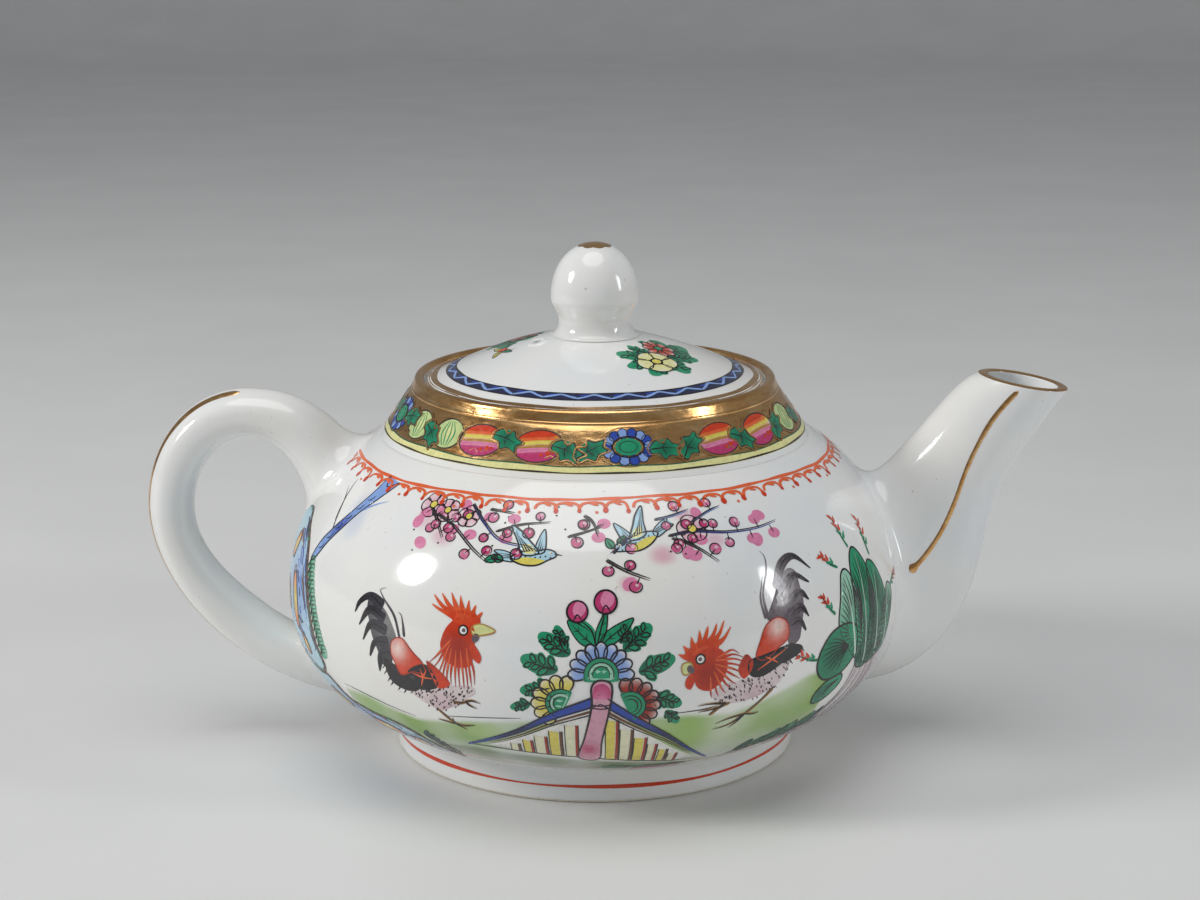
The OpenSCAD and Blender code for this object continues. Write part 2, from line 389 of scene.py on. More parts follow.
def collar_profile():
    """The gilded cone, its ridge and rolled rim, and the ledge inside."""
    cone = [(COLLAR_FOOT[0] + (RIDGE[0] + 0.25 - COLLAR_FOOT[0]) * t,
             COLLAR_Z + (RIDGE_Z - 0.25 - COLLAR_Z) * t) for t in np.linspace(0, 1, 12)]
    ridge = arc_points((RIDGE_R - 0.25, RIDGE_Z), 0.38, -20, 60, 5)
    rim = arc_points((RIM_IN_R + 0.75, RIM_Z - 0.75), 0.75, 10, 180, 14)
    seat = [(RIM_IN_R, LEDGE_Z + 0.3), (RIM_IN_R, LEDGE_Z), (MOUTH_R + 0.2, LEDGE_Z),
            (MOUTH_R, LEDGE_Z - 0.25), (MOUTH_R, LEDGE_Z - 2.0), (MOUTH_R + 0.2, LEDGE_Z - 2.3)]
    inside = [(MOUTH_R + (float(belly_at(COLLAR_Z, WALL)) - MOUTH_R) * t ** 0.8,
               LEDGE_Z - 2.3 + (COLLAR_Z - LEDGE_Z + 2.3) * t) for t in np.linspace(0.1, 1, 8)]
    return cone + ridge + rim + seat + inside


def lid_profile():
    """The upright edge, the dome, and the hollow underneath."""
    edge = arc_points((LID_R - 0.25, LEDGE_Z + 0.25), 0.25, -90, 0, 4) + arc_points(
        (LID_R - 0.9, DOME_EDGE_Z - 1.15), 0.9, 0, 78, 8)
    dome = [(r, dome_at(r)) for r in np.linspace(DOME_EDGE_R, DOME_TOP_R, 60)]
    under_top = dome_at(0) - 2.6
    hollow = [(FLANGE_IN_R * t, under_top - (under_top - LEDGE_Z) * t * t) for t in np.linspace(0, 1, 16)]
    return [(0, DOME_TOP_Z)] + [(DOME_TOP_R, DOME_TOP_Z - 0.02)] + dome[::-1][1:] + edge[::-1] + hollow[::-1]


def knob_profile():
    """A cove up from the dome, a waist, and a bud that closes over the top."""
    cove = [(KNOB_NECK_R + (DOME_TOP_R + 0.35 - KNOB_NECK_R) * (1 - math.sin(a)),
             DOME_TOP_Z - 0.12 + (KNOB_WAIST_Z - DOME_TOP_Z + 0.12) * (1 - math.cos(a)))
            for a in np.linspace(0, math.pi / 2, 12)]
    flare = [(KNOB_NECK_R + (KNOB_R - KNOB_NECK_R) * (1 - math.cos(math.pi * u)) / 2,
              KNOB_WAIST_Z + (KNOB_BUD_Z - KNOB_WAIST_Z) * u) for u in np.linspace(0, 1, 16)[1:]]
    bud = [(KNOB_R * max(0.0, 1 - math.sin(a) ** 2.1) ** (1 / 2.1),
            KNOB_BUD_Z + (KNOB_TOP_Z - KNOB_BUD_Z) * math.sin(a))
           for a in np.linspace(0, math.pi / 2, 30)[1:]]
    bud[-1] = (0, KNOB_TOP_Z)
    return [(0, DOME_TOP_Z - 0.1)] + cove + flare + bud


# ---------------------------------------------------------------- the swept pieces


def along(chain, t):
    """Points on a chain of cubic curves at t from 0 to 1."""
    t = np.asarray(t, float)
    spans = (len(chain) - 1) // 3
    k = np.minimum((t * spans).astype(int), spans - 1)
    s = (t * spans - k)[..., None]
    p = [chain[3 * k + i] for i in range(4)]
    return (1 - s) ** 3 * p[0] + 3 * (1 - s) ** 2 * s * p[1] + 3 * (1 - s) * s * s * p[2] + s ** 3 * p[3]


def on_belly(points, inset=0.0):
    """Moves points level with themselves onto the belly."""
    points = np.array(points, float)
    scale = (belly_at(points[..., 2]) - inset) / np.hypot(points[..., 0], points[..., 1])
    points[..., 0] *= scale
    points[..., 1] *= scale
    return points


class Tube:
    """A piece swept between an upper and a lower outline, with elliptical sections."""

    def __init__(self, top, bottom, width, roots, blend=0.35, flute=0.0):
        self.top, self.bottom, self.width = top, bottom, width
        self.roots, self.blend, self.flute = roots, blend, flute

    def flat(self, t, a, inset=0.0):
        t, a = np.broadcast_arrays(np.asarray(t, float), np.asarray(a, float))
        u, v = along(self.top, t), along(self.bottom, t)
        half, mid = (u - v) / 2, (u + v) / 2
        reach = 1 - inset / np.linalg.norm(half, axis=-1)
        wave = 1 + self.flute * np.cos(6 * a)
        q = mid + half * (reach * wave * np.cos(a))[..., None]
        return np.stack([q[..., 0], (self.width(t) - inset) * wave * np.sin(a), q[..., 1]], -1)

    def at(self, t, a, inset=0.0):
        """Point at t along and angle a round, eased onto the belly near a root."""
        point = self.flat(t, a, inset)
        for root in self.roots:
            start = self.flat(np.full_like(np.asarray(t, float), root), a, inset)
            fade = np.clip(1 - np.abs(np.asarray(t, float) - root) / self.blend, 0, 1) ** 2
            point = point + (on_belly(start) - start) * fade[..., None]
        return point

    def root_blend(self, root, angles, fillet, reach, steps):
        """Rings that flow from the belly's skin into the tube: cubic curves with matched slopes."""
        foot = self.at(np.full_like(angles, root), angles)
        away = foot - foot.mean(axis=0)
        normal = foot * [1, 1, 0] / np.hypot(foot[:, 0], foot[:, 1])[:, None]
        away -= normal * (away * normal).sum(1)[:, None]
        away /= np.linalg.norm(away, axis=1)[:, None]
        start = on_belly(foot + away * fillet, 0.03)
        side = 1 if root == 0 else -1
        t_end = root + side * reach
        end = self.at(np.full_like(angles, t_end), angles)
        slope = self.at(np.full_like(angles, t_end + side * 0.004), angles) - end
        slope /= np.linalg.norm(slope, axis=1)[:, None]
        into = foot - start
        into /= np.linalg.norm(into, axis=1)[:, None]
        span = np.linalg.norm(end - start, axis=1)[:, None]
        rings = []
        for s in np.linspace(0, 1, steps):
            h = (2 * s ** 3 - 3 * s ** 2 + 1, s ** 3 - 2 * s ** 2 + s, -2 * s ** 3 + 3 * s ** 2,
                 s ** 3 - s ** 2)
            rings.append(h[0] * start + h[1] * into * span * 1.1 + h[2] * end + h[3] * slope * span * 1.1)
        return rings


def ring_faces(count, sides, turned=False):
    faces = []
    for i in range(count - 1):
        for j in range(sides):
            a, b = i * sides + j, i * sides + (j + 1) % sides
            faces.append((a, a + sides, b + sides, b) if turned else (a, b, b + sides, a + sides))
    return faces


SPOUT = Tube(SPOUT_UPPER, SPOUT_LOWER,
             lambda t: SPOUT_LIP_W + (SPOUT_ROOT_W - SPOUT_LIP_W) * (1 - t) ** 1.5, [0])
HANDLE = Tube(HANDLE_OUTER, HANDLE_INNER,
              lambda t: HANDLE_W + HANDLE_FLARE * np.abs(2 * t - 1) ** 6, [0, 1], flute=0.012)


def spout_lip(angles, lift=0.0):
    """Rings over the rounded lip, from the outer skin to the inner one."""
    end = SPOUT.at(np.full_like(angles, 1.0), angles)
    up = end - SPOUT.at(np.full_like(angles, 0.985), angles)
    up = up.mean(axis=0)
    up /= np.linalg.norm(up)
    half = SPOUT_WALL / 2
    rings = []
    for a in np.linspace(0, math.pi, 9):
        inset = half - (half + lift) * math.cos(a)
        raised = up * (half * 0.55 + lift) * math.sin(a)
        rings.append(SPOUT.at(np.full_like(angles, 0.992), angles, inset) + raised)
    return rings


def make_spout():
    """The spout, from its blend into the belly over the lip and back down inside."""
    sides, rows = 96, 80
    angles = np.arange(sides) * 2 * math.pi / sides
    rings = SPOUT.root_blend(0, angles, 2.6, 0.13, 16)[:-1]
    rings += [SPOUT.at(np.full(sides, t), angles) for t in np.linspace(0.13, 0.99, rows)]
    rings += spout_lip(angles)
    rings += [SPOUT.at(np.full(sides, t), angles, SPOUT_WALL) for t in np.linspace(0.985, 0.0, 50)]
    return mesh_piece("spout_skin", np.concatenate(rings), ring_faces(len(rings), sides), "pot",
                      GLAZE, 60)


def make_handle():
    """The loop handle, blended into the belly at both ends."""
    sides, rows = 64, 150
    angles = np.arange(sides) * 2 * math.pi / sides
    reach = 0.07
    rings = HANDLE.root_blend(0, angles, 2.2, reach, 12)[:-1]
    rings += [HANDLE.at(np.full(sides, t), angles) for t in np.linspace(reach, 1 - reach, rows)]
    rings += HANDLE.root_blend(1, angles, 2.2, reach, 12)[::-1][1:]
    return mesh_piece("handle_skin", np.concatenate(rings), ring_faces(len(rings), sides), "pot",
                      GLAZE, 60)


# ---------------------------------------------------------------- washes and brushwork


class Skin:
    """A turned surface that paint lies on: angle from the front, and run along its outline."""

    def __init__(self, profile):
        profile = np.array(profile)
        self.run = np.concatenate([[0], np.cumsum(np.hypot(*np.diff(profile, axis=0).T))])
        self.r, self.z = profile[:, 0], profile[:, 1]
        slope = np.gradient(profile, self.run, axis=0)
        self.nr, self.nz = slope[:, 1], -slope[:, 0]

    def point(self, angle, run, lift):
        r = np.interp(run, self.run, self.r) + lift * np.interp(run, self.run, self.nr)
        z = np.interp(run, self.run, self.z) + lift * np.interp(run, self.run, self.nz)
        return np.stack([r * np.sin(angle), -r * np.cos(angle), z], -1)

    def radius(self, run):
        return float(np.interp(run, self.run, self.r))


def smooth_curve(points, step=0.3, closed=False):
    """A Catmull-Rom curve through the points, sampled every step millimetres."""
    p = np.array(points, float)
    if closed:
        p = np.vstack([p[-1], p, p[0], p[1]])
    else:
        p = np.vstack([2 * p[0] - p[1], p, 2 * p[-1] - p[-2]])
    out = []
    for a, b, c, d in zip(p, p[1:], p[2:], p[3:]):
        count = max(2, int(math.ceil(np.linalg.norm(c - b) / step)))
        s = (np.arange(count) / count)[:, None]
        out.append(0.5 * (2 * b + (c - a) * s + (2 * a - 5 * b + 4 * c - d) * s ** 2
                          + (3 * b - a - 3 * c + d) * s ** 3))
    curve = np.vstack(out)
    return curve if closed else np.vstack([curve, p[-2]])


def dense(points, step=0.4, closed=False):
    """The same straight-sided outline with points every step millimetres, so that it hugs a curve."""
    p = np.array(points, float)
    ends = np.vstack([p, p[:1]]) if closed else p
    out = []
    for a, b in zip(ends, ends[1:]):
        count = max(1, int(math.ceil(np.linalg.norm(b - a) / step)))
        out += [a + (b - a) * k / count for k in range(count)]
    return np.array(out) if closed else np.vstack([out, ends[-1]])


class Paint:
    """Collects the marks of one motif on one skin, and makes them a single piece."""

    def __init__(self, skin, lift=0.02):
        self.skin, self.lift = skin, lift
        self.points, self.faces, self.colours = [], [], []
        self.marks = 0

    def height(self, layer):
        self.marks += 1
        return self.lift + 0.012 * layer + 0.0006 * (self.marks % 16)

    def add(self, angle, run, lift, faces, colours):
        start = len(self.points)
        self.points.extend(self.skin.point(angle, run, lift))
        self.faces.extend(tuple(start + i for i in f) for f in faces)
        self.colours.extend(colours)

    def make(self, name, body, slot, material=None):
        return mesh_piece(name, np.array(self.points), self.faces, body,
                          material or ENAMEL, 60, self.colours)


class Brush:
    """Draws in millimetres in a motif's own plane, wrapped onto a skin."""

    def __init__(self, paint, degrees, run, turn=0.0, size=1.0, flip=False):
        self.paint = paint
        self.degrees, self.base = degrees, run
        self.radius = paint.skin.radius(run)
        c, s = math.cos(math.radians(turn)) * size, math.sin(math.radians(turn)) * size
        self.matrix = np.array([[c, -s], [s, c]]) @ np.diag([-1 if flip else 1, 1])
        self.offset = np.zeros(2)
        self.scale = size

    def at(self, x, y, turn=0.0, size=1.0, flip=False):
        """A brush for a smaller motif inside this one."""
        inner = object.__new__(Brush)
        inner.__dict__.update(self.__dict__)
        c, s = math.cos(math.radians(turn)) * size, math.sin(math.radians(turn)) * size
        inner.matrix = self.matrix @ np.array([[c, -s], [s, c]]) @ np.diag([-1 if flip else 1, 1])
        inner.offset = self.offset + self.matrix @ np.array([x, y])
        inner.scale = self.scale * size
        return inner

    def wrap(self, points):
        q = np.asarray(points, float) @ self.matrix.T + self.offset
        return math.radians(self.degrees) + q[..., 0] / self.radius, self.base + q[..., 1]

    def line(self, points, width, colour, layer=2, ends="both", closed=False, end_colour=None,
             straight=False):
        """A brush stroke with a slight bead, thinning towards its ends."""
        step = 0.35 / self.scale
        p = dense(points, step, closed) if straight else smooth_curve(points, step, closed)
        if closed:
            p = np.vstack([p, p[0]])
        if len(p) < 3:
            p = np.vstack([p[0], (p[0] + p[-1]) / 2, p[-1]])
        t = np.linspace(0, 1, len(p))
        d = np.gradient(p, axis=0)
        d /= np.maximum(np.linalg.norm(d, axis=1), 1e-9)[:, None]
        side = np.stack([-d[:, 1], d[:, 0]], 1)
        if ends == "both":
            shape = np.sin(np.pi * np.clip(t, 0.03, 0.97)) ** 0.45
        elif ends == "out":
            shape = np.clip((1.04 - t), 0.05, 1) ** 0.7 * np.clip(t / 0.06 + 0.6, 0, 1)
        elif ends == "blob":
            shape = 0.45 + 0.75 * t ** 2
            shape[-1] *= 0.5
        else:
            shape = np.ones(len(p))
            if not closed:
                shape[0] = shape[-1] = 0.6
        half = (width / 2 / self.scale) * shape[:, None]
        wobble = 1 + 0.12 * np.sin(7.3 * t + self.paint.marks)[:, None]
        rows = np.stack([p + side * half * wobble, p, p - side * half * wobble], 1)
        angle, run = self.wrap(rows.reshape(-1, 2))
        lift = self.paint.height(layer) + np.tile([0, 0.006, 0], len(p))
        flipped = np.linalg.det(self.matrix) < 0
        faces = []
        for i in range(len(p) - 1):
            for j in range(2):
                a = 3 * i + j
                quad = (a, a + 1, a + 4, a + 3)
                faces.append(quad[::-1] if flipped else quad)
        first = np.array(colour)
        last = np.array(end_colour if end_colour else colour)
        colours = [tuple(first + (last - first) * v) for v in t for _ in range(3)]
        self.paint.add(angle, run, lift, faces, colours)

    def fill(self, outline, colour, layer=0, shade=None, straight=False):
        """A filled shape. shade(x, y) may give a colour of its own at each point."""
        rim = (dense if straight else smooth_curve)(outline, 0.35 / self.scale, True)
        low, high = rim.min(axis=0), rim.max(axis=0)
        pitch = 0.9 / self.scale
        grid = np.array([(x, y) for x in np.arange(low[0] + pitch / 2, high[0], pitch)
                         for y in np.arange(low[1] + pitch / 2, high[1], pitch)])
        points = rim
        if len(grid):
            a, b = rim, np.roll(rim, -1, axis=0)
            gx, gy = grid[:, None, 0], grid[:, None, 1]
            crosses = ((a[:, 1] > gy) != (b[:, 1] > gy))
            with np.errstate(divide="ignore", invalid="ignore"):
                x_at = a[:, 0] + (gy - a[:, 1]) / (b[:, 1] - a[:, 1]) * (b[:, 0] - a[:, 0])
            inside = (crosses & (gx < x_at)).sum(axis=1) % 2 == 1
            near = np.hypot(gx - a[:, 0], gy - a[:, 1]).min(axis=1) > pitch * 0.3
            points = np.vstack([rim, grid[inside & near]])
        result = delaunay_2d_cdt([Vector(p) for p in points], [], [list(range(len(rim)))], 1, 1e-6, False)
        flat = np.array([tuple(v) for v in result[0]])
        if not len(flat):
            return
        angle, run = self.wrap(flat)
        faces = [tuple(f) for f in result[2]]
        if np.linalg.det(self.matrix) < 0:
            faces = [f[::-1] for f in faces]
        colours = [shade(x, y) if shade else colour for x, y in flat]
        self.paint.add(angle, run, np.full(len(flat), self.paint.height(layer)), faces, colours)

    def dot(self, x, y, r, colour, layer=3, stretch=1.0, turn=0.0):
        sides = 12
        a = np.arange(sides) * 2 * math.pi / sides
        c, s = math.cos(math.radians(turn)), math.sin(math.radians(turn))
        ex, ey = r / self.scale * stretch * np.cos(a), r / self.scale * np.sin(a)
        rim = np.stack([x + ex * c - ey * s, y + ex * s + ey * c], 1)
        flat = np.vstack([[x, y], rim])
        angle, run = self.wrap(flat)
        lift = np.full(sides + 1, self.paint.height(layer))
        lift[0] += 0.012
        faces = [(0, 1 + i, 1 + (i + 1) % sides) for i in range(sides)]
        if np.linalg.det(self.matrix) < 0:
            faces = [f[::-1] for f in faces]
        self.paint.add(angle, run, lift, faces, [colour] * (sides + 1))

    def loop(self, x, y, r, width, colour, layer=3, stretch=1.0, turn=0.0, start=0.0, sweep=360.0):
        """A ring drawn in one go, open if sweep is under 360 degrees."""
        a = np.radians(start + np.linspace(0, sweep, max(8, int(sweep / 24))))
        c, s = math.cos(math.radians(turn)), math.sin(math.radians(turn))
        ex, ey = r * stretch * np.cos(a), r * np.sin(a)
        pts = np.stack([x + ex * c - ey * s, y + ex * s + ey * c], 1)
        if sweep >= 360:
            self.line(pts[:-1], width, colour, layer, "none", closed=True)
        else:
            self.line(pts, width, colour, layer, "both")


# ---------------------------------------------------------------- putting the pieces together

BELLY = Skin(belly_profile(FOOT_H, COLLAR_Z, 400))
BELLY_ZERO = float(np.interp(BELLY_Z, BELLY.z, BELLY.run))


def make_bowl():
    """The belly's wall: painted skin, inner wall and floor in one closed piece; the strainer is drilled
    later.
    """
    outside = belly_profile(FOOT_H, COLLAR_Z, 112)
    inside = belly_profile(FLOOR_Z, COLLAR_Z, 40, WALL)[::-1]
    centre = (float(belly_at(FLOOR_Z, WALL)), FLOOR_Z)
    floor = [(centre[0] - 1.2, FLOOR_Z), (centre[0] * 0.5, FLOOR_Z), (0, FLOOR_Z)]
    profile = [(0, FOOT_H), (20, FOOT_H), (30, FOOT_H)] + outside + inside + floor
    points, faces = revolve(profile, BELLY_SIDES)
    piece = mesh_piece("bowl_glazed", points, faces, "pot", GLAZE_PAINTED, 40)
    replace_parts(piece, "bowl")
    return piece


def wash_bowl(piece, washes):
    """Lays the soft washes into the belly's own colour, where they fade to white."""
    mesh = piece.data
    count = len(mesh.vertices)
    xyz = np.empty(count * 3)
    mesh.vertices.foreach_get("co", xyz)
    xyz = xyz.reshape(-1, 3) / MM
    r = np.hypot(xyz[:, 0], xyz[:, 1])
    angle = np.degrees(np.arctan2(xyz[:, 0], -xyz[:, 1]))
    outer = r > belly_at(xyz[:, 2]) - 0.3
    run = np.interp(xyz[:, 2], BELLY.z, BELLY.run)
    colour = np.ones((count, 4))
    for wash in washes:
        strength, tint = wash(angle, run)
        strength = np.where(outer, strength, 0)[:, None]
        colour[:, :3] = colour[:, :3] * (1 - strength) + np.array(tint[:3]) * strength
    layer = mesh.color_attributes.new("paint", "FLOAT_COLOR", "POINT")
    layer.data.foreach_set("color", colour.ravel())


def make_foot():
    """The foot ring: glazed, with a bare edge where it stands."""
    profile = foot_profile()
    points, faces = revolve(profile + [profile[0]], RING_SIDES)
    piece = mesh_piece("foot_ring_glazed", points, faces, "pot", GLAZE, 30)
    piece.data.materials.append(BISQUE)
    for polygon in piece.data.polygons:
        if polygon.center.z < 0.45 * MM:
            polygon.material_index = 1
    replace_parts(piece, "foot_ring")


def make_collar():
    """The gilded neck, with plain glaze on the seat and inside the mouth."""
    profile = collar_profile()
    points, faces = revolve(profile + [profile[0]], RING_SIDES)
    piece = mesh_piece("collar_gilded", points, faces, "pot", GILDING, 30)
    piece.data.materials.append(GLAZE)
    for polygon in piece.data.polygons:
        x, y, z = polygon.center / MM
        if math.hypot(x, y) < RIM_IN_R + 0.02 and z < RIM_Z - 0.9:
            polygon.material_index = 1
    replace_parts(piece, "collar")


def make_lid():
    """The dome, painted and pierced later."""
    points, faces = revolve(lid_profile()[::-1], RING_SIDES)
    piece = mesh_piece("lid_glazed", points, faces, "lid", GLAZE, 35)
    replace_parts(piece, "lid")
    return piece


def make_flange():
    """The ring under the lid that keeps it in the mouth."""
    low = LEDGE_Z - (FLANGE_HIGH[2] - FLANGE_LOW[2])
    outside = arc_points((FLANGE_R - 0.5, low + 0.5), 0.5, -90, 0, 5) + [(FLANGE_R, LEDGE_Z)]
    inside = [(FLANGE_IN_R, LEDGE_Z)] + arc_points((FLANGE_IN_R + 0.5, low + 0.5), 0.5, 180, 270, 5)
    points, faces = revolve(outside + inside + [outside[0]], 192)
    piece = mesh_piece("lid_flange_glazed", points, faces, "lid", GLAZE, 35)
    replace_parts(piece, "lid_flange")


def make_knob():
    """The bud on the lid."""
    points, faces = revolve(knob_profile(), 96)
    piece = mesh_piece("knob_glazed", points, faces, "lid", GLAZE, 60)
    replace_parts(piece, "knob")


def make_clay():
    """Every glazed piece. Returns the two that are drilled later."""
    bowl = make_bowl()
    make_foot()
    make_collar()
    lid = make_lid()
    make_flange()
    make_knob()
    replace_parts(make_spout(), "spout")
    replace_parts(make_handle(), "handle")
    return bowl, lid

# ---------------------------------------------------------------- the painter's colours and marks

BLACK = srgb("221C20")
INK = srgb("3A3236")
TAIL = srgb("3B3A42")
TAUPE = srgb("6B6068")
RED = srgb("D8401C")
DEEP_RED = srgb("A82A14")
ORANGE = srgb("EE6A38")
PINK = srgb("E58AB0")
ROSE = srgb("C63A74")
YELLOW = srgb("EADB66")
LEMON = srgb("F1EDA6")
GREEN = srgb("1F9C70")
DARK_GREEN = srgb("12604A")
MINT = srgb("A9DCC3")
LIME = srgb("C3D894")
BLUE = srgb("2E4FB4")
NAVY = srgb("20264E")
LIGHT_BLUE = srgb("8DAEEA")
SKY = srgb("B7DEEE")
BROWN = srgb("6F4628")
MAUVE = srgb("D9BCC4")
WHITE = srgb("F4F3EE")
OCHRE = srgb("B98A3E")


def blend_colours(a, b, t):
    """The colour t of the way from a to b."""
    return tuple(np.array(a) * (1 - t) + np.array(b) * t)


def glow(colour, light, x, y, reach):
    """A shade that lightens round one point."""
    return lambda px, py: blend_colours(colour, light,
                                        math.exp(-((px - x) ** 2 + (py - y) ** 2) / reach ** 2))


def outlined(brush, outline, colour, width=0.24, ink=BLACK, layer=0, shade=None):
    """A filled shape with a drawn edge."""
    brush.fill(outline, colour, layer, shade)
    brush.line(outline, width, ink, layer + 1, "none", closed=True)


def leaf(brush, x, y, length, turn, colour=GREEN, wide=0.45, veins=2):
    """A pointed leaf with a midrib and side veins."""
    inner = brush.at(x, y, turn)
    half = length * wide / 2
    outline = [(0, 0), (0.3 * length, half), (0.68 * length, 0.8 * half), (length, 0),
               (0.66 * length, -0.85 * half), (0.3 * length, -half)]
    outlined(inner, outline, colour, 0.2)
    inner.line([(0, 0), (0.5 * length, 0.08 * half), (0.9 * length, 0)], 0.2, BLACK, 2, "out")
    for k in range(veins):
        at = length * (0.3 + 0.3 * k)
        for side in (1, -1):
            inner.line([(at, 0), (at + 0.12 * length, side * 0.55 * half)], 0.14, BLACK, 2, "out",
                       straight=True)


def spray(brush, x, y, turn, count, length, rng, colour=GREEN):
    """A lobed leaf spray: a soft green mass with looped dark lines over it."""
    inner = brush.at(x, y, turn)
    inner.fill([(0, 0.1 * length), (0.35 * length, 0.3 * length), (0.8 * length, 0.26 * length),
                (1.12 * length, 0.08 * length), (1.1 * length, -0.14 * length),
                (0.75 * length, -0.28 * length), (0.3 * length, -0.26 * length), (0, -0.1 * length)], colour,
               0, glow(colour, DARK_GREEN, 0.3 * length, 0, 0.4 * length))
    for k in range(count):
        side = 1 if k % 2 else -1
        px = length * (0.1 + 0.8 * k / count)
        lobe = length * (0.44 - 0.03 * k) * rng.uniform(0.9, 1.12)
        shape = inner.at(px, 0, side * (52 - 3 * k) + rng.uniform(-8, 8))
        shape.fill([(0, 0), (0.5 * lobe, 0.3 * lobe), (lobe, 0.22 * lobe), (1.08 * lobe, -0.18 * lobe),
                    (0.5 * lobe, -0.32 * lobe)], colour, 0)
        shape.line([(0.1 * lobe, 0), (0.6 * lobe, 0.24 * lobe), (0.98 * lobe, 0), (0.6 * lobe, -0.22 * lobe)],
                   0.2, BLACK, 2, "none", closed=True)
    inner.line([(0, 0), (0.5 * length, 0.03 * length), (1.02 * length, 0)], 0.24, BLACK, 3, "out")


def blossom(brush, x, y, r, count, petal, heart, turn=10, layer=0):
    """A round flower of separate outlined petals."""
    inner = brush.at(x, y, turn)
    for k in range(count):
        one = inner.at(0, 0, 360 * k / count)
        half = r * math.pi / count * 0.92
        outlined(one, [(0.3 * r, 0.25 * half), (0.68 * r, 0.95 * half), (r, 0.5 * half),
                       (1.03 * r, -0.3 * half), (0.7 * r, -0.95 * half), (0.3 * r, -0.3 * half)], petal, 0.2,
                 BLACK, layer, glow(petal, WHITE, 0.98 * r, 0, 0.2 * r))
    inner.dot(0, 0, 0.3 * r, heart, layer + 3)
    inner.loop(0, 0, 0.3 * r, 0.17, BLACK, layer + 4)


def fan_flower(brush, x, y, r, start, sweep, count, petal, heart, layer=3):
    """A flower seen from the side: a fan of petals over a banded round heart."""
    inner = brush.at(x, y)
    for k in range(count):
        one = inner.at(0, 0, start + sweep * (k + 0.5) / count)
        half = r * math.radians(sweep / count) * 0.52
        outlined(one, [(0.42 * r, -0.42 * half), (0.78 * r, -0.98 * half), (r, -0.6 * half), (1.06 * r, 0),
                       (r, 0.6 * half), (0.78 * r, 0.98 * half), (0.42 * r, 0.42 * half)],
                 petal, 0.26, BLACK, layer, glow(petal, WHITE, 1.02 * r, 0, 0.13 * r))
    for share, colour in ((0.55, heart), (0.4, MINT), (0.27, heart)):
        a = np.radians(np.linspace(start - 14, start + sweep + 14, 14))
        rim = [(share * r * math.cos(q), share * r * math.sin(q)) for q in a]
        inner.fill(rim, colour, layer + 2)
        inner.line(rim, 0.2, BLACK, layer + 3, "both")


def berry(brush, x, y, r, rng):
    """A ring of ink round a pink bud, often a little out of register."""
    colour = blend_colours(ROSE, PINK, rng.random())
    brush.dot(x + rng.uniform(-0.14, 0.14), y + rng.uniform(-0.14, 0.14), r * 0.9, colour, 1,
              rng.uniform(0.9, 1.25), rng.uniform(0, 180))
    brush.dot(x + 0.2 * r, y + 0.25 * r, 0.3 * r, blend_colours(colour, WHITE, 0.55), 2)
    brush.loop(x, y, r, 0.2, BLACK, 3, start=rng.uniform(0, 360), sweep=rng.uniform(300, 400))


def bough(brush, points, rng, berries, tip=None, reach=1.3):
    """A twig of doubled ink strokes with buds on short stalks to each side."""
    curve = smooth_curve(points, 0.3)
    brush.line(points, 0.42, INK, 1, "out", end_colour=tip or INK)
    brush.line([(x + 0.14, y + 0.26) for x, y in points], 0.2, BLACK, 2, "both")
    for k in range(berries):
        i = int((k + 0.7) / (berries + 0.4) * (len(curve) - 1))
        x, y = curve[i]
        dx, dy = curve[min(i + 1, len(curve) - 1)] - curve[i - 1]
        side = (1 if k % 2 else -1) / max(math.hypot(dx, dy), 1e-6)
        out = reach * rng.uniform(0.85, 1.2)
        bx, by = x - dy * side * out, y + dx * side * out
        brush.line([(x, y), (bx, by)], 0.18, BLACK, 2, "both", straight=True)
        if rng.random() < 0.8:
            berry(brush, bx, by, rng.uniform(0.68, 0.88), rng)
        else:
            brush.dot(bx, by, 0.85, PINK, 1, 1.2)


# ---------------------------------------------------------------- birds and cockerels


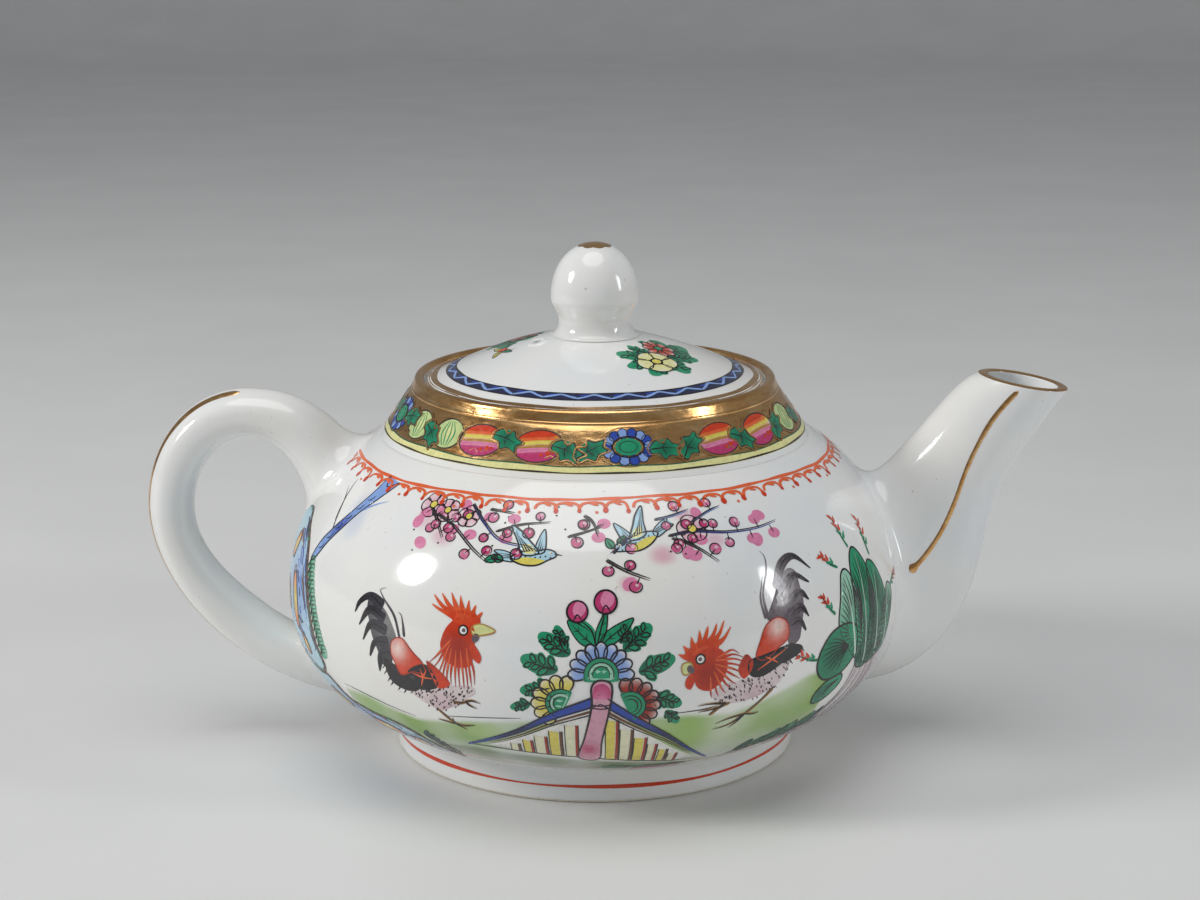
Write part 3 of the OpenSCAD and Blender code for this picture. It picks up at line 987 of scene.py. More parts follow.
def bird(brush, x, y, turn, size, flip=False, lifted=1.0):
    """A small bird in flight, pale blue over yellow."""
    b = brush.at(x, y, turn, size, flip)
    tail = [(-2.8, 0.3), (-4.6, 1.0), (-6.0, 0.9), (-5.2, 0.2), (-6.2, -0.4), (-4.4, -0.7), (-2.8, -0.8)]
    outlined(b, tail, SKY, 0.2)
    for k in (-0.3, 0.1, 0.5):
        b.line([(-3.2, 0.6 * k), (-5.4, k)], 0.15, INK, 2, "out", straight=True)
    far_wing = [(0.3, 0.7), (0.5, 2.6 * lifted), (1.5, 4.9 * lifted), (1.9, 2.7 * lifted), (1.7, 0.9)]
    outlined(b, far_wing, SKY, 0.22)
    for k in range(3):
        b.line([(0.7 + 0.3 * k, 1.0), (1.1 + 0.2 * k, (3.6 - 0.7 * k) * lifted)], 0.16, BLACK, 2, "out",
               straight=True)
    body = [(-3.3, -0.2), (-1.6, 0.9), (0.6, 1.1), (2.1, 1.4), (3.3, 1.0), (3.5, 0.2), (2.4, -0.4),
            (0.6, -1.3), (-1.6, -1.2)]
    outlined(b, body, SKY, 0.24)
    b.fill([(-2.7, -0.6), (-1.2, -0.05), (1.0, -0.25), (1.9, -0.6), (0.4, -1.2), (-1.5, -1.1)], YELLOW, 1)
    near_wing = [(-1.5, 0.4), (-2.5, 2.6 * lifted), (-3.9, 5.4 * lifted), (-2.2, 4.5 * lifted),
                 (-0.9, 3.1 * lifted), (0.9, 0.8)]
    outlined(b, near_wing, SKY, 0.26, layer=1)
    b.fill([(-1.1, 0.6), (-1.8, 2.0 * lifted), (-0.6, 2.2 * lifted), (0.4, 0.9)], LEMON, 2)
    for k in range(5):
        b.line([(-1.2 + 0.4 * k, 0.8 + 0.1 * k), (-3.3 + 0.55 * k, (4.8 - 0.7 * k) * lifted)], 0.17, BLACK,
               3, "out", straight=True)
    for k in range(7):
        b.dot(-1.8 + 0.75 * k, 0.1 * (k % 3), 0.12, INK, 3)
    b.line([(3.3, 0.6), (4.5, 0.35)], 0.3, INK, 2, "out", straight=True)
    b.dot(2.7, 0.75, 0.26, WHITE, 3)
    b.dot(2.75, 0.75, 0.14, BLACK, 4)


# Each pose of a cockerel, in millimetres about its body: it looks towards +x.
PROUD = {"tail": [(-4.4, 2.6), (-3.7, 3.9), (-5.2, 6.4), (-6.9, 7.9), (-9.8, 8.9), (-10.2, 7.2), (-9.4, 5.3),
                  (-8.6, 3.2), (-7.2, 1.2), (-6.4, -0.8), (-4.6, -0.4)],
         "plumes": [[(-6.9, 7.9), (-9.8, 9.0), (-11.9, 7.8), (-12.8, 6.0)],
                    [(-6.2, 6.2), (-9.5, 7.0), (-11.6, 4.3)], [(-5.6, 4.6), (-8.9, 4.9), (-10.6, 2.2)],
                    [(-5.2, 2.8), (-7.9, 2.4), (-9.1, 0.0)], [(-5.0, 1.4), (-6.6, 0.8), (-7.2, -2.0)]],
         "sickles": [[(-3.0, 3.9), (-4.4, 7.0), (-7.0, 9.2), (-8.0, 10.3), (-6.9, 10.8)],
                     [(-2.2, 4.3), (-2.6, 6.1), (-3.1, 7.4), (-3.7, 7.7)]], "tail_colour": TAIL,
         "saddle": [(-4.4, 3.4), (-2.6, 4.0), (-0.6, 2.3), (1.1, 1.0), (1.6, -0.6), (-0.7, -0.8),
                    (-2.8, -1.6), (-3.9, 0.0), (-4.7, 1.6)], "shine": (-3.4, 2.3),
         "wing": [(-1.5, -0.8), (0.6, 0.6), (2.2, 0.6), (3.6, -1.2), (3.5, -2.6), (0.6, -3.4), (-0.6, -2.4)],
         "wing_red": [(1.9, 1.4), (4.2, 0.2), (5.8, -1.6), (3.9, -2.6), (2.8, -1.0)],
         "under": [(-6.0, 0.3), (-3.7, -0.8), (-1.5, -1.0), (0.4, -3.2), (-1.7, -4.1), (-4.4, -3.5),
                   (-5.6, -2.0)], "breast": [(-1.3, -4.3), (0.6, -3.4), (2.8, -3.1), (5.6, -1.9),
                                             (9.1, -1.5), (9.8, -2.6), (7.8, -3.9), (6.4, -5.2), (4.2, -5.7),
                                             (3.6, -6.6), (1.5, -5.9)],
         "neck": [(6.5, 8.3), (5.1, 6.9), (4.4, 5.2), (4.3, 3.8), (5.4, 1.9), (7.2, 1.2), (9.3, 1.8),
                  (9.6, 4.2), (9.9, 5.8), (9.4, 7.6), (8.2, 8.6)],
         "hackles": [[(4.9, 3.9), (3.6, 2.4), (2.4, 1.3)], [(5.0, 3.4), (4.0, 1.7), (3.2, 0.7)],
                     [(5.2, 2.9), (4.5, 1.1), (4.0, -0.1)], [(5.5, 2.5), (4.9, 0.6), (4.6, -0.9)],
                     [(5.8, 2.2), (5.4, 0.2), (5.3, -1.3)], [(6.3, 2.0), (6.0, 0.0), (6.0, -1.7)],
                     [(6.8, 1.9), (6.7, -0.1), (6.7, -1.9)], [(7.3, 1.9), (7.3, 0.0), (7.4, -2.0)],
                     [(7.8, 2.0), (8.0, 0.0), (8.1, -2.0)], [(8.3, 2.2), (8.6, 0.1), (8.7, -1.9)],
                     [(8.8, 2.5), (9.1, 0.5), (9.3, -1.6)], [(9.1, 2.9), (9.7, 1.0), (9.8, -1.2)]],
         "comb": [(5.2, 8.9), (4.4, 9.6), (5.6, 10.0), (7.2, 10.0), (8.8, 9.7), (10.1, 9.0), (10.5, 8.2),
                  (9.0, 7.5), (6.4, 7.8)], "points": [[(6.4, 8.6), (4.0, 9.2), (2.2, 9.9)],
                                                      [(6.4, 8.8), (4.0, 9.9), (2.3, 11.3)],
                                                      [(6.6, 9.0), (5.0, 10.2), (3.6, 11.7)],
                                                      [(7.0, 9.0), (6.0, 10.6), (5.2, 12.0)],
                                                      [(7.6, 9.2), (7.1, 10.6), (6.8, 11.7)],
                                                      [(8.4, 9.0), (8.3, 10.4), (8.3, 11.2)],
                                                      [(9.1, 8.8), (9.3, 9.9), (9.5, 10.6)],
                                                      [(9.8, 8.4), (10.3, 9.2), (10.7, 9.7)]],
         "beak": [(9.3, 7.5), (10.8, 8.0), (12.9, 7.2), (11.4, 6.5), (9.5, 6.3)], "bill_shadow": (9.9, 5.9),
         "wattle": [(9.3, 5.2), (10.2, 4.4), (10.9, 3.2), (10.6, 2.2), (9.8, 2.6), (9.2, 3.8)],
         "eye": (7.9, 6.8), "legs": [[(2.8, -6.2), (4.2, -7.6), (5.4, -8.8)],
                                     [(6.0, -4.6), (7.4, -4.5), (8.0, -4.2)]],
         "toes": [[(5.4, -8.8), (4.2, -8.7), (2.4, -8.5)], [(5.4, -8.8), (7.0, -9.0), (8.9, -8.6)],
                  [(5.4, -8.8), (6.4, -9.4), (7.2, -10.0)], [(5.4, -8.8), (5.2, -8.1), (5.3, -7.6)],
                  [(8.0, -4.2), (9.2, -3.9), (10.5, -4.2)], [(8.0, -4.2), (8.8, -4.8), (9.8, -5.2)]],}
PECKING = {"tail": [(-1.8, 5.4), (-3.2, 8.0), (-5.2, 11.0), (-7.4, 12.2), (-8.8, 11.4), (-8.6, 9.6),
                    (-9.0, 7.6), (-8.7, 5.6), (-8.0, 3.8), (-7.4, 1.6), (-5.6, 0.9), (-5.0, 3.4)],
           "plumes": [[(-4.2, 9.6), (-6.2, 12.8), (-9.2, 13.8), (-12.0, 11.4)],
                      [(-4.8, 8.6), (-8.0, 11.0), (-10.9, 9.5)], [(-5.2, 7.0), (-8.4, 8.4), (-10.1, 7.0)],
                      [(-5.6, 5.4), (-8.2, 6.2), (-9.6, 4.6)], [(-5.8, 3.8), (-7.7, 4.2), (-8.8, 2.6)]],
           "sickles": [[(-1.9, 5.4), (-1.6, 9.0), (-3.2, 12.6), (-3.6, 14.6), (-3.0, 15.6)],
                       [(-1.4, 5.6), (-1.0, 8.4), (-1.7, 10.6), (-2.2, 11.8)]], "tail_colour": TAUPE,
           "saddle": [(0.6, 0.3), (-0.2, 2.6), (-1.4, 4.7), (-3.6, 5.5), (-5.3, 4.4), (-5.2, 2.2),
                      (-3.4, 1.0), (-1.0, -0.4)], "shine": (-3.4, 4.2),
           "wing": [(1.9, -0.2), (-0.4, 0.3), (-3.6, 0.9), (-6.0, 1.2), (-6.6, 0.0), (-3.8, -1.6),
                    (-0.6, -2.9), (1.6, -2.4)], "wing_red": [(2.4, 0.9), (3.6, -1.2), (2.6, -2.8),
                                                             (1.4, -1.6), (1.2, -0.2)],
           "under": [(-4.4, 1.0), (-7.3, 0.8), (-8.0, -0.2), (-5.8, -1.2), (-3.8, -1.4)],
           "breast": [(7.9, -4.6), (5.8, -3.2), (2.4, -3.0), (-1.2, -2.4), (-5.4, -1.3), (-4.6, -3.4),
                      (-3.1, -4.9), (0.4, -6.2), (4.4, -6.6), (6.6, -5.8)],
           "neck": [(6.4, 2.2), (8.2, 2.6), (10.2, 1.9), (11.2, 0.4), (10.7, -1.4), (10.0, -3.2),
                    (8.2, -3.9), (6.4, -2.8), (5.4, -0.8), (5.6, 1.0)],
           "hackles": [[(6.0, 1.4), (4.6, 1.9), (3.4, 1.2)], [(6.0, 1.0), (4.4, 1.2), (2.8, 0.6)],
                       [(5.9, 0.6), (4.2, 0.5), (2.5, -0.2)], [(5.9, 0.1), (4.2, -0.3), (2.5, -1.0)],
                       [(6.0, -0.4), (4.4, -1.0), (2.8, -1.9)], [(6.0, -0.9), (4.6, -1.8), (3.2, -2.7)],
                       [(6.2, -1.4), (5.0, -2.6), (3.8, -3.5)], [(6.5, -1.9), (5.5, -3.2), (4.6, -4.1)],
                       [(6.9, -2.3), (6.2, -3.8), (5.5, -4.6)], [(7.4, -2.6), (7.0, -4.2), (6.6, -5.0)],
                       [(8.0, -2.8), (7.9, -4.2), (7.7, -5.1)]],
           "comb": [(7.0, 2.1), (6.8, 3.2), (8.2, 3.8), (9.9, 3.7), (11.3, 2.8), (12.1, 1.7), (11.2, 0.9),
                    (9.0, 1.4)], "points": [[(8.0, 2.6), (6.0, 3.6), (4.6, 5.3)],
                                            [(8.2, 2.8), (6.6, 4.4), (5.6, 6.3)],
                                            [(8.6, 3.0), (7.4, 4.6), (6.8, 6.0)],
                                            [(9.2, 3.0), (8.6, 4.6), (8.2, 5.8)],
                                            [(9.8, 2.8), (9.6, 4.2), (9.6, 5.3)],
                                            [(10.6, 2.4), (10.8, 3.6), (10.9, 4.5)],
                                            [(11.2, 2.0), (11.8, 2.8), (12.2, 3.3)],
                                            [(11.4, 1.5), (12.4, 1.8), (12.9, 2.1)]],
           "beak": [(11.0, 0.7), (12.3, 0.6), (12.4, -0.6), (11.8, -1.1), (10.9, -0.4)],
           "bill_shadow": (11.1, -0.3), "wattle": [(10.7, -0.8), (11.7, -1.6), (11.9, -2.8), (11.1, -3.4),
                                                   (10.5, -2.2)], "eye": (9.6, 1.1),
           "legs": [[(-2.7, -5.2), (-0.6, -7.2), (1.5, -9.0)], [(4.6, -6.4), (6.2, -7.0), (7.7, -8.2)]],
           "toes": [[(1.5, -9.0), (4.0, -9.4), (6.3, -10.2)], [(1.5, -9.0), (4.0, -10.8), (6.5, -11.4)],
                    [(1.5, -9.0), (0.2, -9.3), (-1.0, -9.2)], [(1.5, -9.0), (2.8, -10.6), (3.8, -11.6)],
                    [(5.2, -6.4), (7.6, -6.2), (9.8, -6.3)], [(5.6, -6.8), (7.6, -7.2), (9.6, -7.4)]],}


def cockerel(brush, pose, rng):
    """A cockerel in iron red and black: tail, body, legs, hackles, then the head."""
    dark = pose["tail_colour"]
    brush.fill(pose["tail"], dark, 0, glow(dark, blend_colours(dark, WHITE, 0.25), *pose["tail"][2], 3.5))
    for points in pose["plumes"]:
        brush.line(points, 1.9, dark, 1, "out", end_colour=BLACK)
        brush.line(points, 0.24, BLACK, 2, "both")
    for points in pose["sickles"]:
        brush.line(points, 0.5, dark, 1, "out", end_colour=TAUPE)
    pale = blend_colours(MAUVE, WHITE, 0.45)
    brush.fill(pose["breast"], pale, 0, glow(pale, MAUVE, *pose["breast"][-3], 2.5))
    inside = np.array(pose["breast"])
    for k in range(84):
        a, b, c = (inside[rng.randrange(len(inside))] for _ in range(3))
        u, v = sorted((rng.random(), rng.random()))
        x, y = a * u + b * (v - u) + c * (1 - v)
        brush.line([(x, y), (x - 0.25, y - 0.4)], rng.uniform(0.14, 0.3), BLACK, 2, "both", straight=True)
    for points in pose["legs"]:
        brush.line(points, 0.55, blend_colours(OCHRE, BROWN, 0.5), 1, "none")
        brush.line([(x + 0.12, y + 0.1) for x, y in points], 0.22, BLACK, 2, "both")
    for points in pose["toes"]:
        brush.line(points, 0.4, BLACK, 2, "out")
        brush.line([(x, y + 0.22) for x, y in points], 0.2, OCHRE, 1, "out")
    brush.fill(pose["under"], BLACK, 1)
    under = pose["under"]
    for k, (x, y) in enumerate(under):
        nx, ny = under[(k + 1) % len(under)]
        for s in (0.2, 0.6):
            px, py = x + (nx - x) * s, y + (ny - y) * s
            brush.line([(px, py), (px - 0.7, py - 0.8)], 0.3, BLACK, 1, "out", straight=True)
    brush.fill(pose["saddle"], RED, 2, glow(RED, srgb("FBE4DA"), *pose["shine"], 1.5))
    brush.line(pose["saddle"], 0.18, DEEP_RED, 3, "none", closed=True)
    brush.fill(pose["wing"], BLACK, 3)
    brush.fill(pose["wing_red"], RED, 3, glow(RED, DEEP_RED, *pose["wing_red"][0], 2))
    wing = np.array(pose["wing"])
    middle = wing.mean(axis=0)
    for k in range(5):
        tip = wing[(k * 2 + 1) % len(wing)]
        brush.line([tuple(middle), tuple(middle * 0.3 + tip * 0.7)], 0.34, ORANGE, 4, "out", straight=True)
    for points in pose["hackles"]:
        brush.line(points, 0.42, RED, 3, "out", end_colour=DEEP_RED)
    neck_x, neck_y = np.array(pose["neck"]).mean(axis=0)
    brush.fill(pose["neck"], RED, 4, glow(RED, DEEP_RED, neck_x, neck_y - 1.0, 2.6))
    for points in pose["hackles"][::2]:
        (x, y), (x2, y2) = points[0], points[1]
        brush.line([(x + (x - x2) * 0.9, y + (y - y2) * 0.9), (x, y), (x2, y2)], 0.24, ORANGE, 5, "both")
    brush.fill(pose["comb"], RED, 4, glow(RED, ORANGE, *pose["comb"][3], 1.6))
    for points in pose["points"]:
        brush.line(points, 0.95, RED, 4, "out", end_colour=ORANGE)
    outlined(brush, pose["beak"], blend_colours(LEMON, LIME, 0.4), 0.2, OCHRE, 4)
    brush.fill(pose["wattle"], RED, 4)
    brush.dot(*pose["bill_shadow"], 0.55, TAUPE, 5, 1.3, 60)
    x, y = pose["eye"]
    brush.dot(x, y, 0.84, BLACK, 5)
    brush.dot(x, y, 0.58, WHITE, 6)
    brush.dot(x + 0.08, y, 0.3, TAUPE, 7)


# ---------------------------------------------------------------- the garden


def gable(brush):
    """The summerhouse gable: blue eaves, striped slats, and a round-topped post."""
    apex, left, right = (1.0, -2.6), (-21.6, -14.6), (21.4, -20.0)
    base = [left, (-14.4, -14.9), (-2.9, -16.2), (8.0, -18.2), (14.0, -19.5), right]
    brush.fill([(-17.6, -13.9), (-9.0, -9.6), (0.2, -4.6), (2.2, -4.8), (10.0, -11.6), (18.4, -19.0),
                (13.7, -19.5), (8.0, -18.2), (-2.9, -16.2), (-12.4, -15.0)], WHITE, 0, straight=True)
    slats = [-13.2, -11.0, -8.8, -6.4, -3.9, 2.6, 4.9, 7.2, 9.3, 11.4, 13.4]
    for k, x in enumerate(slats):
        low = np.interp(x, [p[0] for p in base], [p[1] for p in base]) + 0.15
        if x < 1:
            top = np.interp(x, [left[0], apex[0]], [left[1], apex[1]]) - 2.6
        else:
            top = np.interp(x, [apex[0], right[0]], [apex[1], right[1]]) - 2.8
        lean = -0.25 if x > 1 else 0.2
        wide = 1.5 if abs(x) < 9 else 1.1
        if top - low < 0.5:
            continue
        colour = YELLOW if k % 2 else blend_colours(LEMON, WHITE, 0.5)
        panel = [(x - wide / 2, low), (x + wide / 2, low), (x + wide / 2 + lean, top - 0.3),
                 (x - wide / 2 + lean, top)]
        brush.fill(panel, colour, 1, straight=True)
        bar = x + wide / 2 + 0.3
        brush.fill([(bar - 0.22, low), (bar + 0.3, low), (bar + 0.22 + lean, top - 0.2),
                    (bar - 0.2 + lean, top)], DEEP_RED if k % 3 else BROWN, 2, straight=True)
        brush.line([(bar + 0.32, low), (bar + 0.24 + lean, top)], 0.2, BLACK, 3, "none", straight=True)
        brush.line([(x - wide / 2, low), (x - wide / 2 + lean, top)], 0.16, BLACK, 3, "none", straight=True)
    for tip, drop in ((left, (-12.0, -9.6)), (right, (11.6, -10.6))):
        mid_x, mid_y = drop
        steps = smooth_curve([(apex[0], apex[1] + 0.2), (mid_x * 0.5, (apex[1] + mid_y) / 2 + 0.6),
                              (mid_x, mid_y + 0.3), ((mid_x + tip[0]) / 2, (mid_y + tip[1]) / 2 + 0.1), tip],
                             0.6)
        width = np.linspace(1.6, 0.35, len(steps))
        lower = steps - np.stack([0 * width, width], 1)
        brush.fill([tuple(p) for p in steps] + [tuple(p) for p in lower[::-1]], BLUE, 6,
                   glow(BLUE, NAVY, mid_x, mid_y - 0.8, 5), straight=True)
        brush.line(steps[::3], 0.26, BLACK, 7, "out")
        brush.line(lower[::3], 0.3, NAVY, 7, "out")
        for gap, colour, thin in ((0.75, BROWN, 0.42), (1.35, BLACK, 0.26)):
            brush.line([(x, y - gap * (1 - 0.5 * k / len(lower))) for k,
                        (x, y) in enumerate(lower)][::3][:-3], thin, colour, 3, "out")
    brush.line(base, 0.34, BLACK, 3, "both")
    post = [(-2.6, -16.2), (-1.5, -10.5), (-0.4, -4.6), (-0.4, -1.4), (0.6, -0.3), (2.2, -0.6), (2.6, -2.0),
            (2.2, -5.0), (1.2, -11.0), (0.7, -16.8)]
    outlined(brush, post, PINK, 0.3, BLACK, 7, glow(blend_colours(PINK, MAUVE, 0.5), ROSE, -0.9, -13.4, 1.6))
    brush.fill([(-0.2, -2.2), (0.1, -1.1), (1.3, -0.8), (2.2, -1.5), (2.3, -3.0), (0.0, -3.1)], ROSE, 8,
               glow(ROSE, PINK, 1.0, -3.0, 1.2))
    for y in (-4.1, -4.6):
        brush.line([(-0.5, y), (1.0, y - 0.2), (2.5, y)], 0.2, BLACK, 9, "none")


def bouquet(brush, rng):
    """Flowers over the gable: two tall buds, three fans of petals, and leaves to each side."""
    for x, y, turn, length in ((-3.6, 3.6, 150, 4.6), (-5.4, 1.2, 165, 4.8), (-6.4, -1.6, 190, 3.9),
                               (4.4, 4.2, 42, 4.6), (6.6, 0.8, 22, 4.8), (8.4, -3.0, -20, 4.2)):
        spray(brush, x, y, turn, 6, length, rng)
    for x, y, turn in ((-4.2, 4.8, 118), (3.8, 5.2, 66), (-9.4, -4.2, 200), (10.6, -5.6, -48)):
        spray(brush, x, y, turn, 4, 2.8, rng)
    for base_x, base_y, length, turn, wide in ((0.2, 4.6, 5.6, 137, 0.38), (0.6, 4.6, 6.6, 38, 0.3),
                                               (0.4, 4.8, 5.2, 74, 0.26)):
        leaf(brush, base_x, base_y, length, turn, GREEN, wide, 2)
    for points in ([(0.2, 4.8), (-0.4, 7.0), (-2.2, 8.6)], [(0.4, 4.8), (1.0, 7.4), (1.6, 9.6)]):
        brush.line(points, 0.8, GREEN, 1, "none")
        brush.line(points, 0.22, BLACK, 2, "both")
    for x, y, r in ((-2.5, 9.7, 1.55), (1.7, 11.1, 1.7)):
        brush.dot(x, y, r, ROSE, 3)
        brush.dot(x + 0.3, y + 0.4, r * 0.62, PINK, 4, 1.3, 70)
        brush.loop(x, y, r, 0.28, BLACK, 5)
        brush.line([(x - 0.6, y - r * 0.9), (x, y - r * 0.3), (x + 0.7, y - r * 0.8)], 0.24, BLACK, 5, "both")
    fan_flower(brush, 5.2, -4.4, 4.2, -64, 178, 7, DEEP_RED, GREEN)
    fan_flower(brush, -4.8, -4.0, 4.2, 62, 186, 7, YELLOW, GREEN)
    fan_flower(brush, 1.0, 0.6, 4.5, -12, 204, 9, LIGHT_BLUE, GREEN)


def cabbage(brush, rng):
    """A leafy vegetable: tall crinkled leaves over white stalks that sweep down and left."""
    stalks = [[(4.4, -5.0), (2.0, -10.0), (-2.5, -15.5), (-8.5, -20.2)],
              [(6.0, -5.4), (4.0, -11.0), (-0.5, -16.4), (-6.6, -20.8)],
              [(8.0, -5.2), (6.4, -11.4), (2.0, -17.0), (-4.4, -21.4)],
              [(10.2, -4.6), (8.8, -11.4), (4.6, -17.4), (-2.0, -21.8)]]
    skin = [(3.8, -4.0), (1.2, -10.0), (-3.4, -15.6), (-9.4, -20.0), (-2.0, -22.2), (5.4, -18.0),
            (10.2, -12.0), (12.2, -4.0)]
    brush.fill(skin, MAUVE, 0, glow(blend_colours(MAUVE, WHITE, 0.3), WHITE, 4, -11, 5))
    for points in stalks:
        brush.line(points, 0.6, srgb("A993A6"), 1, "both")
        brush.line([(x + 0.75, y) for x, y in points], 0.2, INK, 2, "both")
    brush.line([(3.8, -4.0), (1.2, -10.0), (-3.4, -15.6), (-9.4, -20.0)], 0.3, INK, 2, "both")
    leaves = [([(9.0, -4.6), (12.8, -4.8), (15.6, -1.0), (17.0, 3.4), (15.2, 5.2), (13.2, 3.2), (11.4, 0.6)],
               MINT, (13.2, -1)), ([(3.0, -3.6), (0.0, -0.8), (-1.9, 2.6), (-0.9, 6.6), (0.6, 10.2),
                                    (2.6, 10.0), (4.2, 5.0), (5.0, 0.0)], MINT, (2.6, 0)),
              ([(6.4, -5.0), (10.6, -5.2), (13.6, -1.6), (14.0, 2.6), (12.6, 6.6), (10.6, 9.8), (8.4, 9.6),
                (7.2, 3.0)], GREEN, (9.6, -1)), ([(3.4, -5.0), (7.4, -5.6), (9.4, -0.6), (9.0, 5.8),
                                                  (8.0, 10.6), (6.0, 13.2), (3.6, 11.0), (2.6, 5.2),
                                                  (2.8, 0.0)], GREEN, (5.8, -2)),]
    for outline, colour, root in leaves:
        pale = colour == MINT
        shade = glow(colour, DARK_GREEN if not pale else GREEN, *root, 5.5)
        outlined(brush, outline, colour, 0.28, BLACK, 1, shade)
        rim = smooth_curve(outline, 1.15, True)
        for x, y in rim:
            start = (x * 0.92 + root[0] * 0.08, y * 0.92 + root[1] * 0.08)
            end = (x * 0.45 + root[0] * 0.55, y * 0.45 + root[1] * 0.55)
            mid = ((start[0] + end[0]) / 2 + 0.25, (start[1] + end[1]) / 2)
            brush.line([start, mid, end], 0.2, BLACK if not pale else INK, 3, "both")
        top = max(outline, key=lambda p: p[1])
        brush.line([(root[0], root[1] - 3), ((root[0] + top[0]) / 2 - 0.3, (root[1] + top[1]) / 2),
                    (top[0], top[1] - 0.8)], 0.5, blend_colours(colour, WHITE, 0.45), 4, "out")
    round_leaf = [(2.6, 1.6), (0.0, 2.6), (-3.6, 2.0), (-6.2, -0.4), (-6.8, -3.0), (-5.0, -5.2),
                  (-1.4, -5.4), (1.8, -3.6), (3.0, -1.0)]
    outlined(brush, round_leaf, GREEN, 0.34, BLACK, 3, glow(GREEN, DARK_GREEN, -3, -2, 3.5))
    for k in range(9):
        a = math.radians(120 + 19 * k)
        end = (-2.0 + 3.9 * math.cos(a), -1.4 + 2.9 * math.sin(a))
        brush.line([(0.6, -1.0), ((0.6 + end[0]) / 2, (end[1] - 1.0) / 2 + 0.35), end], 0.24, BLACK, 5, "out")
    small = [(-0.4, -5.4), (-3.8, -5.8), (-6.0, -7.6), (-5.6, -9.6), (-2.8, -9.4), (0.0, -7.2)]
    outlined(brush, small, GREEN, 0.3, BLACK, 3, glow(GREEN, DARK_GREEN, -4.6, -8, 2))
    for k in range(5):
        brush.line([(-0.8, -6.2), (-2.6 - 0.3 * k, -6.6 - 0.4 * k), (-4.6 + 0.5 * k, -6.9 - 0.55 * k)], 0.2,
                   BLACK, 5, "out")
    for x, y, turn, size in ((4.9, 13.4, 96, 1.0), (10.6, 10.8, 78, 1.15), (0.2, 11.2, 142, 0.8),
                             (-2.6, 4.6, 128, 0.8), (16.6, 4.2, 18, 0.8), (-6.4, -1.6, 160, 0.9)):
        sprig(brush, x, y, turn, size, rng)


def sprig(brush, x, y, turn, size, rng):
    """A green stem with iron-red buds along it."""
    inner = brush.at(x, y, turn, size * 1.25)
    inner.line([(0, 0), (2.0, 0.3), (4.6, 0)], 0.5, GREEN, 2, "out")
    inner.line([(0, 0), (2.0, 0.3), (4.6, 0)], 0.16, BLACK, 3, "both")
    for k in range(6):
        side = 1 if k % 2 else -1
        start = 1.2 + 0.55 * k
        colour = RED if k > 1 else GREEN
        inner.line([(start, 0), (start + 0.8, side * rng.uniform(0.5, 0.9))], 0.7, colour, 3, "out",
                   straight=True)


def tree(brush):
    """A bare forked tree washed in blue."""
    trunk = [(-5.0, 9.4), (-3.6, 12.6), (-1.6, 15.2), (1.6, 19.4), (3.6, 23.2), (4.4, 26.6), (6.0, 24.8),
             (8.6, 26.0), (6.4, 22.6), (4.0, 19.8), (1.4, 16.2), (-1.0, 13.2), (-3.4, 10.0)]
    outlined(brush, trunk, LIGHT_BLUE, 0.26, BLACK, 1, glow(LIGHT_BLUE, BLUE, 0.6, 16, 2.6))
    brush.line([(-2.2, 16.6), (-4.0, 20.4), (-5.4, 24.0)], 0.36, BLACK, 2, "out")
    brush.line([(-1.6, 15.4), (-3.6, 19.6), (-6.4, 22.2)], 0.26, BLACK, 2, "out")
    brush.line([(1.8, 18.4), (6.2, 21.2), (9.4, 22.6)], 0.5, LIGHT_BLUE, 1, "out")
    for k in range(6):
        x, y = -3.4 + 1.4 * k, 11.6 + 2.0 * k
        brush.line([(x, y), (x + 0.9, y + 0.3), (x + 1.5, y + 1.2)], 0.2, BLACK, 3, "both")


def blob(x, y, wide, high, turn, rng):
    """An uneven closed outline about a point."""
    c, s = math.cos(math.radians(turn)), math.sin(math.radians(turn))
    points = []
    for k in range(9):
        q = 2 * math.pi * k / 9
        reach = rng.uniform(0.78, 1.18)
        ex, ey = wide * reach * math.cos(q), high * reach * math.sin(q)
        points.append((x + ex * c - ey * s, y + ex * s + ey * c))
    return points


